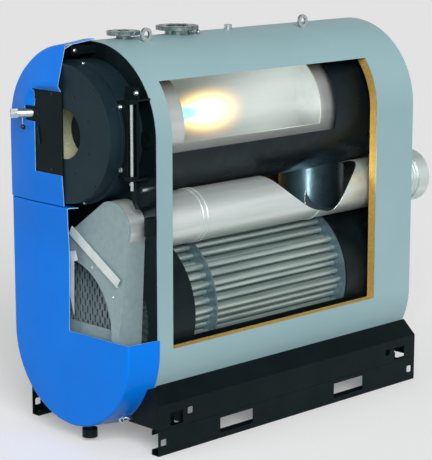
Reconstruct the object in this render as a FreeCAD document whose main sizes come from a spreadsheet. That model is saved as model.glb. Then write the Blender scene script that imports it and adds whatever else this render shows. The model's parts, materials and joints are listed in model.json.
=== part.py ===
"""Cutaway condensing fire-tube boiler, in millimetres.

Frame: +Z up, the blue hood faces -Y, the cut window is on the +X side, and the
origin is the middle of the footprint at floor level.
"""
import FreeCAD, Part
import math
import os
import re

os.makedirs("parts", exist_ok=True)
doc = FreeCAD.newDocument("boiler")
vec = FreeCAD.Vector

# --------------------------------------------------------------------------
# Driving dimensions.  Every y below is measured back from the hood's front edge.
# --------------------------------------------------------------------------
SIZES = {
    "hood_front": (-1077.75, "y of the hood's front edge in the part's frame"),
    # casing
    "casing_radius": (440, "outside radius of the casing's round top and bottom"),
    "lower_centre": (510, "height of the casing's lower arc centre"),
    "upper_centre": (1512, "height of the casing's upper arc centre"),
    "casing_front": (176, "casing's front edge"),
    "casing_back": (2038, "casing's back edge"),
    "casing_sheet": (3, "casing sheet"),
    "blanket": (46, "insulation thickness"),
    # window cut in the casing
    "window_front": (276, "front edge of the cut window"),
    "window_back": (1745, "back edge of the cut window"),
    "window_foot": (501, "lower edge of the cut window"),
    "window_head": (1780, "upper edge of the cut window"),
    # hood
    "hood_radius": (428, "hood radius at its front edge"),
    "hood_skirt_radius": (446, "hood radius where it laps the casing"),
    "hood_lap": (8, "how far the hood laps over the casing"),
    "hood_sheet": (4, "hood sheet"),
    "upper_dome": (28, "how far the upper hood's front stands out"),
    "lower_dome": (8, "how far the lower hood's front stands out"),
    "hood_flange": (50, "depth of the flange along the lower hood's top edge"),
    "dome_radius": (345, "radius of the front's flat middle"),
    "hood_seam": (1172, "height of the seam between the hood's two parts"),
    "seam_gap": (6, "clear gap at the seam"),
    "hood_cut": (562, "height of the cut across the lower hood"),
    # upper pressure vessel and furnace
    "upper_vessel_radius": (355, "upper vessel, outside"),
    "upper_vessel_axis": (1520, "height of the upper vessel's axis"),
    "vessel_wall": (8, "vessel plate"),
    "vessel_back": (1960, "back of both vessels"),
    "upper_cut_back": (1520, "back edge of the cut in the upper vessel"),
    "upper_cut_foot": (1427, "lower edge of the cut in the upper vessel"),
    "upper_cut_head": (1830, "upper edge of the cut in the upper vessel"),
    "furnace_radius": (300, "furnace, outside"),
    "furnace_axis": (1525, "height of the furnace's axis"),
    "furnace_wall": (6, "furnace plate"),
    "furnace_back": (1905, "back of the furnace"),
    "furnace_cut_front": (488, "front edge of the furnace's cut"),
    "furnace_cut_back": (1462, "back edge of the furnace's cut"),
    "furnace_cut_foot": (1457, "lower edge of the furnace's cut"),
    "furnace_cut_head": (1785, "upper edge of the furnace's cut"),
    # lower pressure vessel
    "lower_vessel_radius": (382, "lower vessel, outside"),
    "lower_vessel_axis": (615, "height of the lower vessel's axis"),
    "lower_cut_front": (480, "front edge of the cut in the lower vessel"),
    "lower_cut_back": (1590, "back edge of the cut in the lower vessel"),
    "lower_cut_foot": (519, "lower edge of the cut in the lower vessel"),
    "lower_cut_head": (965, "upper edge of the cut in the lower vessel"),
    "plate_thickness": (12, "tube plates"),
    "front_tube_plate": (230, "front tube plate"),
    "rear_tube_plate": (1578, "rear tube plate"),
    "baffle_place": (632, "baffle plate"),
    "baffle_thickness": (8, "baffle plate"),
    "tube_radius": (17, "fire tube, outside"),
    "tube_bore": (14, "fire tube, inside"),
    "tube_pitch_x": (47, "pitch of the tubes across"),
    "tube_pitch_z": (41, "pitch of the tubes up"),
    # passage between the vessels
    "neck_radius": (177, "neck between the vessels, outside"),
    "neck_place": (1717, "axis of the neck"),
    # flue pipe
    "flue_radius": (133, "flue pipe, outside"),
    "flue_x": (230, "flue pipe's axis, to the right"),
    "flue_z": (1083, "flue pipe's axis, height"),
    "flue_sheet": (3, "flue pipe sheet"),
    "flue_front": (80, "front end of the flue pipe"),
    "flue_end": (2215, "rear end of the flue pipe"),
    "socket_end": (2275, "open end of the flue socket"),
    "socket_start": (2190, "front end of the flue socket"),
    "socket_radius": (143, "flue socket"),
    "socket_bore": (136, "flue socket's bore, radius"),
    "bead_height": (4, "rolled beads on the flue pipe"),
    # base
    "rail_x": (480, "outside of the base rails"),
    "rail_web": (5, "rail plate"),
    "rail_front": (140, "front end of the rails"),
    "rail_back": (2048, "back end of the rails"),
    "rail_crease": (250, "height where the rail turns inwards"),
    "rail_foot_width": (50, "width of the rail's foot"),
    "rail_step": (126, "height of the rail's lower fold"),
    "rail_lip": (28, "height of the rail's inner lips"),
    "ledge_depth": (68, "strap ledge on the rail, from the rail's outside"),
    "ledge_sheet": (5, "strap ledge's sheet"),
    "ledge_top": (155, "top of the strap ledge's upstand"),
    # door
    "door_radius": (334, "burner door drum"),
    "door_axis": (1524, "height of the door's axis"),
    "door_front": (-17, "front of the drum"),
    "door_back": (62, "back of the drum, where its flange starts"),
    "plug_depth": (54, "how far the lining reaches into the furnace mouth"),
    "plug_radius": (286, "lining inside the furnace mouth"),
    "door_sheet": (6, "drum plate"),
    "burner_bore": (120, "burner opening in the door, radius"),
    "pin_x": (379, "hinge pin, to the right"),
    "pin_y": (76, "hinge pin, back from the hood's front edge"),
    "pin_radius": (8, "hinge pin"),
    # base, continued
    "lean_x": (400, "rail cover meets the casing here"),
    "lean_z": (324, "height where the rail cover meets the casing"),
    "cover_sheet": (4, "rail cover sheet"),
    "cradle_plate": (6, "cradle plates at the rails' ends"),
    "cradle_foot": (130, "lower edge of the cradle plates"),
    "cradle_knee": (244, "where the cradle's lower edge turns down"),
    "cradle_tip": (114, "inner end of the cradle plates"),
    "cradle_tip_z": (84, "height of the cradle's inner end"),
    "strap_slot_1": (218, "front slot in the rail cover"),
    "strap_slot_2": (1876, "rear slot in the rail cover"),
    "strap_slot_length": (84, "slots in the rail cover"),
    "strap_slot_z": (138, "slots in the rail cover"),
    "strap_slot_height": (65, "slots in the rail cover"),
    "cover_hole_1": (350, "front hole in the rail cover"),
    "cover_hole_2": (1822, "rear hole in the rail cover"),
    "cover_hole_z": (190, "holes in the rail cover"),
    "rail_hole_1": (174, "front hole in the rail"),
    "rail_hole_2": (2003, "rear hole in the rail"),
    "rail_hole_z": (63, "holes in the rail"),
    "rail_hole": (18, "holes in the rail, half their width"),
    "hole_rounding": (1.22, "round tool of the square holes, over half their width"),
    "cover_hole": (17, "holes in the rail cover, half their width"),
    "fork_slot_1": (555, "front fork slot"),
    "fork_slot_2": (1390, "rear fork slot"),
    "fork_slot_length": (228, "length of the fork slots"),
    "fork_slot_foot": (29, "height of the fork slots' lower edge"),
    "fork_slot_height": (75, "height of the fork slots"),
    "saddle_plate": (14, "saddle plate"),
    "saddle_front_y": (320, "front saddle plate"),
    "saddle_rear_y": (1860, "rear saddle plate"),
    "saddle_half": (385, "saddle plate's half width inside the casing"),
    "saddle_top": (400, "top of the saddle plates"),
    "saddle_reach": (8, "saddle plate's clearance inside the rail cover"),
    # plates, ducts and beads
    "plate_front": (8, "front plate"),
    "window_edge": (284, "inner limit of the window's cut"),
    "flue_clearance": (8, "gap round the flue pipe in the rear of the casing"),
    "gas_duct_radius": (150, "gas outlet under the furnace's back end"),
    "tube_field": (338, "radius of the field of tubes"),
    "bead_width": (12, "rolled beads"),
    "bead_1_y": (555, "bead"),
    "bead_2_y": (585, "bead"),
    "bead_3_y": (1405, "bead"),
    "bead_4_y": (2140, "bead"),
    "bead_5_y": (2165, "bead"),
    # collector
    "collector_top_y": (74, "front of the collector at its top"),
    "collector_foot_y": (20, "front of the collector at its foot"),
    "collector_foot": (490, "foot of the collector"),
    "collector_left": (-330, "left edge of the collector"),
    "collector_right": (322, "right edge of the collector's foot"),
    "collector_shoulder": (830, "left end of the collector's slope"),
    "collector_arc": (126, "radius of the collector's round top"),
    "collector_arc_z": (1070, "centre of the collector's round top"),
    "collector_sheet": (3, "collector sheet"),
    "inspection_radius": (349, "round opening in the collector's front"),
    "inspection_x": (-71, "round opening, across"),
    "inspection_z": (553, "round opening, height"),
    "grille_y": (146, "perforated plate"),
    "grille_half": (318, "perforated plate's half width"),
    "grille_top": (905, "top of the perforated plate, before it is trimmed to the collector"),
    "grille_sheet": (3, "perforated plate"),
    "grille_play": (1, "gap between the perforated plate and the collector"),
    "tray_front": (60, "condensate tray"),
    "tray_right": (272, "condensate tray"),
    "tray_top": (596, "condensate tray"),
    "strip_length": (420, "folded strip across the collector's front"),
    "strip_width": (46, "folded strip"),
    "strip_tip_x": (-53, "upper end of the folded strip, across"),
    "strip_tip_z": (1027, "upper end of the folded strip, height"),
    "strip_foot_x": (330, "lower end of the folded strip, across"),
    "strip_foot_z": (810, "lower end of the folded strip, height"),
    "strip_rise": (14, "folded strip's depth"),
    "drain_x": (46, "condensate drain"),
    "drain_y": (80, "condensate drain"),
    "drain_radius": (22, "condensate drain pipe"),
    "cap_radius": (38, "cap under the hood"),
    "cap_foot": (18, "underside of the cap"),
    "cap_top": (60, "top of the cap"),
    "valve_x": (258, "drain valve"),
    "valve_z": (151, "drain valve"),
    "valve_front": (98, "drain valve"),
    "valve_back": (140, "drain valve"),
    "valve_radius": (21, "drain valve"),
    "valve_mouth": (8, "drain valve's open mouth, radius"),
    "valve_mouth_depth": (24, "drain valve's open mouth"),
    "valve_pin": (7, "spindle on the drain valve, radius"),
    "valve_pin_length": (48, "spindle on the drain valve"),
    "valve_notch": (26, "notch in the hood round the drain valve, radius"),
    "bracket_y": (28, "front end of the hood bracket"),
    "bracket_x": (4, "hood bracket, left face"),
    "bracket_z": (1896, "hood bracket, underside"),
    "bracket_height": (40, "hood bracket"),
    # burner plate, sight tube, hinge
    "burner_plate_left": (-200, "left edge of the burner plate"),
    "burner_plate_foot": (1325, "foot of the burner plate"),
    "burner_plate_top": (1726, "top of the burner plate"),
    "burner_plate_y": (-27, "front of the burner plate"),
    "door_flange_radius": (348, "flange round the back of the drum"),
    "door_flange": (14, "flange thickness"),
    "sight_z": (1603, "height of the sight tube"),
    "sight_radius": (22, "sight tube"),
    "sight_length": (120, "sight tube"),
    "sight_wall": (4, "sight tube's wall"),
    "sight_nut": (34, "length of the sight tube's hexagon"),
    "sight_nut_corner": (25.5, "sight tube's hexagon, centre to corner"),
    "sight_turn": (33, "sight tube, turned outwards"),
    "sight_x": (-225, "sight tube's inner end"),
    "sight_y": (-5, "sight tube's inner end"),
    "sight_lug_left": (-272, "lug of the burner plate that carries the sight tube"),
    "sight_lug_half": (37, "half height of that lug"),
    "lever_place": (62, "lever, along the sight tube"),
    "lever_radius": (3, "lever"),
    "lever_length": (46, "lever"),
    "knob_radius": (13, "ball knob on the lever"),
    "door_seat_radius": (344, "seat ring on the front plate"),
    "seat_gap": (1, "gap between the closed door and its seat"),
    "leaf_left": (279, "hinge leaf's edge on the drum"),
    "leaf_right": (366, "hinge leaf's edge near the pin"),
    "ear_thickness": (10, "hinge ears"),
    "ear_reach": (19, "hinge ears round the pin"),
    "bracket_left": (345, "fixed hinge brackets, left edge"),
    "bracket_wing": (36, "how far the upper bracket runs on to the left"),
    "bracket_ear": (54, "height of the upper bracket's ear"),
    "bracket_right": (402, "fixed hinge brackets, right edge"),
    "pin_tail": (46, "how far the pin stands out below its bracket"),
    "post_left": (345, "post behind the pin"),
    "post_right": (385, "post behind the pin"),
    "post_front": (104, "post behind the pin"),
    "post_depth": (14, "post behind the pin"),
    "stay_x": (352, "door stay"),
    "stay_gauge": (12, "door stay"),
    "stay_front": (96, "front of the door stay"),
    "stay_knee": (1228, "height of the door stay's upper bend"),
    "stay_foot": (1196, "height of the door stay's lower arm"),
    "stay_width": (34, "door stay"),
    "adjuster_z": (1288, "adjusting bolt, height"),
    "adjuster_x": (394, "adjusting bolt, to the right"),
    "adjuster_radius": (14, "adjusting bolt"),
    "ear_x": (378, "round ear on the front plate"),
    "ear_z": (1519, "round ear on the front plate"),
    "ear_radius": (42, "round ear on the front plate"),
    "ear_bore": (12, "round ear's hole, radius"),
    "pin_clearance": (0.05, "running clearance round the hinge pin"),
    "hinge_foot": (1334, "under side of the lower hinge bracket"),
    "hinge_top": (1714, "top of the upper hinge bracket"),
    # top fittings
    "nozzle_wall": (6, "wall of the water connections"),
    "flange_thickness": (20, "flanges"),
    "bolt_hole": (9, "bolt holes in the flanges, radius"),
    "nozzle_1_y": (366, "return connection"),
    "nozzle_1_neck": (36, "return connection, neck radius"),
    "nozzle_1_flange": (82, "return connection, flange radius"),
    "nozzle_1_circle": (62.5, "return connection, bolt circle radius"),
    "nozzle_1_top": (1988, "return connection, top"),
    "nozzle_1_bolts": (4, "return connection, bolts"),
    "nozzle_2_y": (722, "supply connection"),
    "nozzle_2_neck": (62, "supply connection, neck radius"),
    "nozzle_2_flange": (107, "supply connection, flange radius"),
    "nozzle_2_circle": (88, "supply connection, bolt circle radius"),
    "nozzle_2_top": (1992, "supply connection, top"),
    "nozzle_2_bolts": (8, "supply connection, bolts"),
    "nozzle_3_y": (1078, "small nipple"),
    "nozzle_3_neck": (20, "small nipple, radius"),
    "nozzle_3_top": (1975, "small nipple, top"),
    "eye_x": (105, "lifting eyes, to the right of the crest"),
    "eye_front_y": (419, "front lifting eye"),
    "eye_rear_y": (1523, "rear lifting eye"),
    "eye_radius": (34, "lifting eye's ring"),
    "eye_plate": (12, "lifting eye's plate"),
    "eye_bore": (18, "lifting eye's hole, radius"),
    "eye_stem": (16, "half width of the lifting eye's stem"),
    "eye_foot": (1850, "lifting eye's foot on the vessel"),
    "eye_z": (1972, "centre of the lifting eye's ring"),
    "vent_z": (1960, "vent cock beside the supply neck"),
    "vent_reach": (105, "vent cock's ball, from the supply flange's axis"),
    "vent_ball": (11, "vent cock's ball"),
    "vent_pipe": (5, "vent cock's pipe"),
}

sheet = doc.addObject("Spreadsheet::Sheet", "dims")
for row, (alias, (value, note)) in enumerate(SIZES.items(), start=1):
    sheet.set(f"A{row}", alias)
    sheet.set(f"B{row}", str(value))
    sheet.setAlias(f"B{row}", alias)
    sheet.set(f"C{row}", note)
doc.recompute()


def bound(text):
    """An expression in which each alias is looked up in the sheet."""
    return re.sub(r"[A-Za-z_]\w*", lambda word: f"dims.{word[0]}" if word[0] in SIZES else word[0],
                  str(text))


def cell(alias):
    """The plain number in one cell of the sheet."""
    return float(sheet.get(alias))


# --------------------------------------------------------------------------
# Helpers.  Coordinates are expressions; every y counts from the hood's front.
# --------------------------------------------------------------------------
def place(piece, x, y, z):
    piece.setExpression("Placement.Base.x", bound(x))
    piece.setExpression("Placement.Base.y", bound(f"hood_front + ({y})"))
    piece.setExpression("Placement.Base.z", bound(z))
    return piece


def box(name, x, y, z):
    """A block between the pairs of limits x, y and z."""
    piece = doc.addObject("Part::Box", name)
    for side, (low, high) in zip(("Length", "Width", "Height"), (x, y, z)):
        piece.setExpression(side, bound(f"({high}) - ({low})"))
    return place(piece, x[0], y[0], z[0])


TURNS = {
    "x": FreeCAD.Rotation(vec(0, 1, 0), 90),
    "y": FreeCAD.Rotation(vec(1, 0, 0), -90),
    "z": FreeCAD.Rotation(),
}


def cylinder(name, axis, radius, length, x, y, z):
    """A round bar that starts at x, y, z and runs along +axis."""
    piece = doc.addObject("Part::Cylinder", name)
    piece.Placement = FreeCAD.Placement(vec(), TURNS[axis])
    piece.setExpression("Radius", bound(radius))
    piece.setExpression("Height", bound(length))
    return place(piece, x, y, z)


def fuse(name, *pieces):
    union = doc.addObject("Part::MultiFuse", name)
    union.Shapes = list(pieces)
    union.Refine = True
    return union


def cut(name, base, *tools):
    result = doc.addObject("Part::Cut", name)
    result.Base = base
    result.Tool = tools[0] if len(tools) == 1 else fuse(f"{name}_tools", *tools)
    result.Refine = True
    return result


def common(name, first, second):
    result = doc.addObject("Part::Common", name)
    result.Base = first
    result.Tool = second
    result.Refine = True
    return result


def ring(name, axis, radius, bore, length, x, y, z):
    """A round tube or ring: outer radius, inner radius, length."""
    return cut(name, cylinder(f"{name}_outer", axis, radius, length, x, y, z),
               cylinder(f"{name}_inner", axis, bore, length, x, y, z))


def obround(name, radius, front, back):
    """A block with the casing's outline: round top and bottom, straight sides."""
    middle = box(f"{name}_middle", (f"-({radius})", radius), (front, back),
                 ("lower_centre", "upper_centre"))
    length = f"({back}) - ({front})"
    low = cylinder(f"{name}_low", "y", radius, length, "0", front, "lower_centre")
    high = cylinder(f"{name}_high", "y", radius, length, "0", front, "upper_centre")
    return fuse(name, middle, low, high)


nodes = []


def node(name, piece):
    """Marks a finished sub-part: its label names its file."""
    piece.Label = name
    nodes.append(piece)
    return piece


# --------------------------------------------------------------------------
# Base: two rails with fork slots, their upper covers, two saddle plates
# --------------------------------------------------------------------------
def sided(side, low, high):
    """A pair of limits in x at the right, or mirrored at the left for side -1."""
    return (low, high) if side > 0 else (f"-({high})", f"-({low})")


def square_hole(name, side, half, y, z):
    """The tool for a square hole with round corners through a rail's web."""
    through = sided(side, "rail_x - 2 * rail_web", "rail_x + 2 * rail_web")
    block = box(f"{name}_block", through, (f"{y} - {half}", f"{y} + {half}"),
                (f"{z} - {half}", f"{z} + {half}"))
    bar = cylinder(f"{name}_bar", "x", f"{half} * hole_rounding", "4 * rail_web", through[0], y, z)
    return common(name, block, bar)


def rail(side):
    """Lower C-channel with inner lips, two fork slots and two strap ledges, on the side +1 or -1."""
    name = "rail_right" if side > 0 else "rail_left"
    span = ("rail_front", "rail_back")
    outer = sided(side, "rail_x - rail_foot_width", "rail_x")
    inner = sided(side, "rail_x - rail_foot_width + rail_web", "rail_x - rail_web")
    mouth = sided(side, "rail_x - rail_foot_width", "rail_x - rail_foot_width + rail_web")
    web = sided(side, "rail_x - 2 * rail_web", "rail_x + 2 * rail_web")
    channel = cut(f"{name}_channel", box(f"{name}_solid", outer, span, ("0", "rail_step")),
                  box(f"{name}_hollow", inner, span, ("rail_web", "rail_step - rail_web")),
                  box(f"{name}_mouth", mouth, span, ("rail_lip", "rail_step - rail_lip")))
    ledges = []
    for i in (1, 2):
        along = (f"strap_slot_{i}", f"strap_slot_{i} + strap_slot_length")
        ledges.append(box(f"{name}_ledge_{i}", sided(side, "rail_x - ledge_depth", "rail_x - rail_web"),
                          along,
                          ("rail_step - ledge_sheet", "rail_step")))
        ledges.append(box(f"{name}_upstand_{i}",
                          sided(side, "rail_x - ledge_depth", "rail_x - ledge_depth + ledge_sheet"), along,
                          ("rail_step - ledge_sheet", "ledge_top")))
    slots = [box(f"{name}_slot_{i}", web, (f"fork_slot_{i}", f"fork_slot_{i} + fork_slot_length"),
                 ("fork_slot_foot", "fork_slot_foot + fork_slot_height")) for i in (1, 2)]
    holes = [square_hole(f"{name}_hole_{i}", side, "rail_hole", f"rail_hole_{i}", "rail_hole_z")
             for i in (1, 2)]
    return node(name, cut(f"{name}_body", fuse(f"{name}_whole", channel, *ledges), *slots, *holes))


def prism(points, y, length, side=1):
    """A plate of the outline points (x, z), mirrored by side -1, from y back by length."""
    corners = [vec(side * x, cell("hood_front") + y, z) for x, z in points]
    return Part.Face(Part.makePolygon(corners + corners[:1])).extrude(vec(0, length, 0))


def feature(name, shape):
    piece = doc.addObject("Part::Feature", f"{name}_body")
    piece.Shape = shape.removeSplitter()
    return piece


def rail_cover(side):
    """Bent sheet on top of a rail: upright, then leaning in to the casing."""
    name = "rail_cover_right" if side > 0 else "rail_cover_left"
    gauge, foot, crease = cell("cover_sheet"), cell("rail_step"), cell("rail_crease")
    outer_x, lean_x, lean_z = cell("rail_x"), cell("lean_x"), cell("lean_z")
    drop = gauge * 1.4
    outline = [(outer_x, foot), (outer_x, crease), (lean_x, lean_z), (lean_x, lean_z - drop),
               (outer_x - gauge, crease - gauge / 2), (outer_x - gauge, foot)]
    sheet_metal = prism(outline, cell("rail_front"), cell("rail_back") - cell("rail_front"), side)
    rim_start = vec(0, cell("hood_front") + cell("rail_front") - 1, cell("lower_centre"))
    hood_rim = Part.makeCylinder(cell("hood_skirt_radius") + 1, 60, rim_start, vec(0, 1, 0))
    piece = feature(f"{name}_sheet", sheet_metal.cut(hood_rim))
    slots = [box(f"{name}_slot_{i}", (f"{side} * rail_x - 2 * rail_web", f"{side} * rail_x + 2 * rail_web"),
                 (f"strap_slot_{i}", f"strap_slot_{i} + strap_slot_length"),
                 ("strap_slot_z", "strap_slot_z + strap_slot_height")) for i in (1, 2)]
    holes = [square_hole(f"{name}_hole_{i}", side, "cover_hole", f"cover_hole_{i}", "cover_hole_z")
             for i in (1, 2)]
    return node(name, cut(f"{name}_body", piece, *slots, *holes))


def cradle(name, y):
    """Plates across the rails' ends, cut to the casing's round underside."""
    wide = cell("rail_x") - cell("cover_sheet")
    half = [(wide, cell("cradle_foot")), (cell("cradle_knee"), cell("cradle_foot")),
            (cell("cradle_tip"), cell("cradle_tip_z")), (cell("cradle_tip"), cell("lean_z") - 6),
            (cell("lean_x") - 4, cell("lean_z") - 6), (wide, cell("rail_crease") - 4)]
    thick = cell("cradle_plate")
    round_cut = Part.makeCylinder(cell("hood_skirt_radius") + 1, thick + 2,
                                  vec(0, cell("hood_front") + y - 1, cell("lower_centre")), vec(0, 1, 0))
    halves = [prism(half, y, thick, side).cut(round_cut) for side in (1, -1)]
    piece = doc.addObject("Part::Feature", f"{name}_body")
    piece.Shape = Part.Compound(halves)
    return node(name, piece)


cradle("cradle_front", cell("rail_front"))
cradle("cradle_rear", cell("rail_back") - cell("cradle_plate"))
for side in (1, -1):
    rail(side)
    rail_cover(side)


def saddle_block(name, place_y, gap):
    """Outline of a saddle plate: wide on the rails, narrower inside the casing."""
    span = (f"{place_y} - {gap}", f"{place_y} + saddle_plate + {gap}")
    wide = box(f"{name}_wide", ("saddle_reach - rail_x", "rail_x - saddle_reach"), span,
               ("rail_step", "rail_crease - saddle_reach"))
    high = box(f"{name}_high", ("-saddle_half", "saddle_half"), span, ("rail_step", "saddle_top"))
    return fuse(name, wide, high)


def lower_vessel_core(name, radius):
    return cylinder(name, "y", radius, "casing_back - casing_front", "0", "casing_front",
                    "lower_vessel_axis")


for end in ("front", "rear"):
    node(f"saddle_{end}", cut(f"saddle_{end}_body", saddle_block(f"saddle_{end}_block", f"saddle_{end}_y",
                                                                 "0"),
                              lower_vessel_core(f"saddle_{end}_core", "lower_vessel_radius")))
saddle_slots = [saddle_block(f"saddle_slot_{end}", f"saddle_{end}_y", "1") for end in ("front", "rear")]


def eye_stem(name, end, play):
    """Stem of a lifting eye from the vessel up to its ring, or the slot for it."""
    half = f"eye_plate / 2 + {play}"
    return box(name, (f"eye_x - ({half})", f"eye_x + {half}"),
               (f"eye_{end}_y - eye_stem - {play}", f"eye_{end}_y + eye_stem + {play}"),
               ("eye_foot", "eye_z"))


eye_slots = [eye_stem(f"eye_slot_{end}", end, "2") for end in ("front", "rear")]

# --------------------------------------------------------------------------
# Casing, insulation, front and rear plates
# --------------------------------------------------------------------------
window = box("window", ("window_edge", "casing_radius + 10"), ("window_front", "window_back"),
             ("window_foot", "window_head"))
nozzle_holes = [cylinder(f"nozzle_hole_{i}", "z", f"nozzle_{i}_neck + 2", "200", "0", f"nozzle_{i}_y",
                         "upper_centre + casing_radius - 100") for i in (1, 2, 3)]
jacket_shell = cut("jacket_shell", obround("jacket_outer", "casing_radius", "casing_front", "casing_back"),
                   obround("jacket_inner", "casing_radius - casing_sheet", "casing_front",
                           "casing_back - casing_sheet"))
flue_hole = cylinder("flue_hole", "y", "flue_radius + flue_clearance", "200", "flue_x", "casing_back - 100",
                     "flue_z")
node("casing_jacket", cut("casing_jacket_body", jacket_shell, window, flue_hole, *nozzle_holes,
                          *saddle_slots,
                          *eye_slots))

blanket_shell = cut("blanket_shell",
                    obround("blanket_outer", "casing_radius - casing_sheet", "casing_front + plate_front",
                            "casing_back - casing_sheet"),
                    obround("blanket_inner", "casing_radius - casing_sheet - blanket",
                            "casing_front + plate_front",
                            "casing_back - casing_sheet"))
node("insulation_blanket", cut("insulation_blanket_body", blanket_shell, window, *nozzle_holes,
                               *saddle_slots,
                               *eye_slots))

furnace_mouth = cylinder("furnace_mouth", "y", "furnace_radius", "100", "0", "casing_front - 50",
                         "furnace_axis")
tube_mouth = cylinder("tube_mouth", "y", "lower_vessel_radius - vessel_wall", "100", "0",
                      "casing_front - 50",
                      "lower_vessel_axis")
flue_mouth = cylinder("flue_mouth", "y", "flue_radius + 1", "100", "flue_x", "casing_front - 50", "flue_z")
node("front_plate", cut("front_plate_body",
                        obround("front_plate_block", "casing_radius - casing_sheet", "casing_front",
                                "casing_front + plate_front"),
                        furnace_mouth, tube_mouth, flue_mouth))

# --------------------------------------------------------------------------
# Upper vessel with the furnace inside it
# --------------------------------------------------------------------------
def vessel(name, radius, axis, start, back):
    return ring(name, "y", radius, f"{radius} - vessel_wall", f"{back} - ({start})", "0", start, axis)


upper_cut = box("upper_cut", ("0", "casing_radius"), ("window_front + 20", "upper_cut_back"),
                ("upper_cut_foot", "upper_cut_head"))
upper_bottom = cylinder("upper_bottom", "z", "neck_radius - vessel_wall", "400", "0", "neck_place",
                        "upper_vessel_axis - 600")
node("upper_vessel_shell", cut("upper_vessel_body",
                               vessel("upper_vessel_tube", "upper_vessel_radius", "upper_vessel_axis",
                                      "casing_front + plate_front", "vessel_back"),
                               upper_cut, upper_bottom,
                               *[cylinder(f"shell_hole_{i}", "z", f"nozzle_{i}_neck - nozzle_wall", "200",
                                          "0",
                                          f"nozzle_{i}_y", "upper_vessel_axis + upper_vessel_radius - 100")
                                 for i in (1, 2, 3)]))
node("upper_vessel_head", cylinder("upper_vessel_head_body", "y", "upper_vessel_radius",
                                   "plate_thickness", "0",
                                   "vessel_back", "upper_vessel_axis"))

furnace_cut = box("furnace_cut", ("0", "casing_radius"), ("furnace_cut_front", "furnace_cut_back"),
                  ("furnace_cut_foot", "furnace_cut_head"))
furnace_outlet = cylinder("furnace_outlet", "z", "gas_duct_radius", "300", "0", "neck_place",
                          "furnace_axis - furnace_radius - 100")
node("furnace_tube", cut("furnace_tube_body",
                         ring("furnace_ring", "y", "furnace_radius", "furnace_radius - furnace_wall",
                              "furnace_back - casing_front", "0", "casing_front", "furnace_axis"),
                         furnace_cut, furnace_outlet))
node("furnace_rear_wall", cylinder("furnace_rear_body", "y", "furnace_radius", "furnace_wall", "0",
                                   "furnace_back",
                                   "furnace_axis"))

# --------------------------------------------------------------------------
# Neck between the vessels, with the gas duct inside it
# --------------------------------------------------------------------------
def neck(name, radius, bore, low_z, high_z, low_core, high_core):
    tube = ring(f"{name}_tube", "z", radius, bore, f"{high_z} - ({low_z})", "0", "neck_place", low_z)
    return node(name, cut(f"{name}_body", tube, low_core, high_core))


upper_core = cylinder("upper_core", "y", "upper_vessel_radius", "vessel_back - casing_front", "0",
                      "casing_front",
                      "upper_vessel_axis")
neck("vessel_neck", "neck_radius", "neck_radius - vessel_wall", "lower_vessel_axis + 200",
     "upper_vessel_axis - 200", lower_vessel_core("neck_low_core", "lower_vessel_radius"), upper_core)

# --------------------------------------------------------------------------
# Lower vessel with its fire tubes
# --------------------------------------------------------------------------
lower_cut = box("lower_cut", ("0", "casing_radius"), ("lower_cut_front", "lower_cut_back"),
                ("lower_cut_foot", "lower_cut_head"))
lower_top = cylinder("lower_top", "z", "neck_radius - vessel_wall", "400", "0", "neck_place",
                     "lower_vessel_axis + 200")
node("lower_vessel_shell", cut("lower_vessel_body",
                               vessel("lower_vessel_tube", "lower_vessel_radius", "lower_vessel_axis",
                                      "casing_front + plate_front", "vessel_back"),
                               lower_cut, lower_top))
node("lower_vessel_head", cylinder("lower_vessel_head_body", "y", "lower_vessel_radius",
                                   "plate_thickness", "0",
                                   "vessel_back", "lower_vessel_axis"))


def tube_places():
    """Centres of the fire tubes: staggered rows inside the tube field."""
    limit = cell("tube_field")
    dx, dz = cell("tube_pitch_x"), cell("tube_pitch_z")
    rows = int(limit // dz)
    for row in range(-rows, rows + 1):
        shift = 0.5 * dx * (row % 2)
        for column in range(-20, 21):
            x, z = column * dx + shift, row * dz
            if math.hypot(x, z) <= limit:
                yield x, z


def drilled_plate(name, radius, front, thickness, hole):
    """A round plate drilled for every fire tube."""
    y = cell("hood_front") + front
    centre_z = cell("lower_vessel_axis")
    plate = Part.makeCylinder(radius, thickness, vec(0, y, centre_z), vec(0, 1, 0))
    holes = [Part.makeCylinder(hole, thickness + 2, vec(x, y - 1, centre_z + z), vec(0, 1, 0))
             for x, z in tube_places()]
    piece = doc.addObject("Part::Feature", f"{name}_body")
    piece.Shape = plate.cut(Part.Compound(holes))
    return node(name, piece)


inside = cell("lower_vessel_radius") - cell("vessel_wall")
drilled_plate("front_tube_plate", inside, cell("front_tube_plate"), cell("plate_thickness"),
              cell("tube_radius"))
drilled_plate("baffle_plate", inside, cell("baffle_place"), cell("baffle_thickness"), cell("tube_radius"))
drilled_plate("rear_tube_plate", inside, cell("rear_tube_plate"), cell("plate_thickness"),
              cell("tube_radius"))

tubes = []
tube_start = cell("hood_front") + cell("front_tube_plate")
tube_length = cell("rear_tube_plate") + cell("plate_thickness") - cell("front_tube_plate")
for x, z in tube_places():
    foot = vec(x, tube_start, cell("lower_vessel_axis") + z)
    outer = Part.makeCylinder(cell("tube_radius"), tube_length, foot, vec(0, 1, 0))
    tubes.append(outer.cut(Part.makeCylinder(cell("tube_bore"), tube_length, foot, vec(0, 1, 0))))
bundle = doc.addObject("Part::Feature", "tube_bundle_body")
bundle.Shape = Part.Compound(tubes)
node("tube_bundle", bundle)

# --------------------------------------------------------------------------
# Flue pipe with its beads and the scoop cut out of its side
# --------------------------------------------------------------------------
beads = [ring(f"bead_{i}", "y", "flue_radius + bead_height", "flue_radius - flue_sheet", "bead_width",
              "flue_x",
              f"bead_{i}_y", "flue_z") for i in (1, 2, 3, 4, 5)]
flue_tube = fuse("flue_tube", ring("flue_ring", "y", "flue_radius", "flue_radius - flue_sheet",
                                   "flue_end - flue_front", "flue_x", "flue_front", "flue_z"), *beads)


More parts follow.
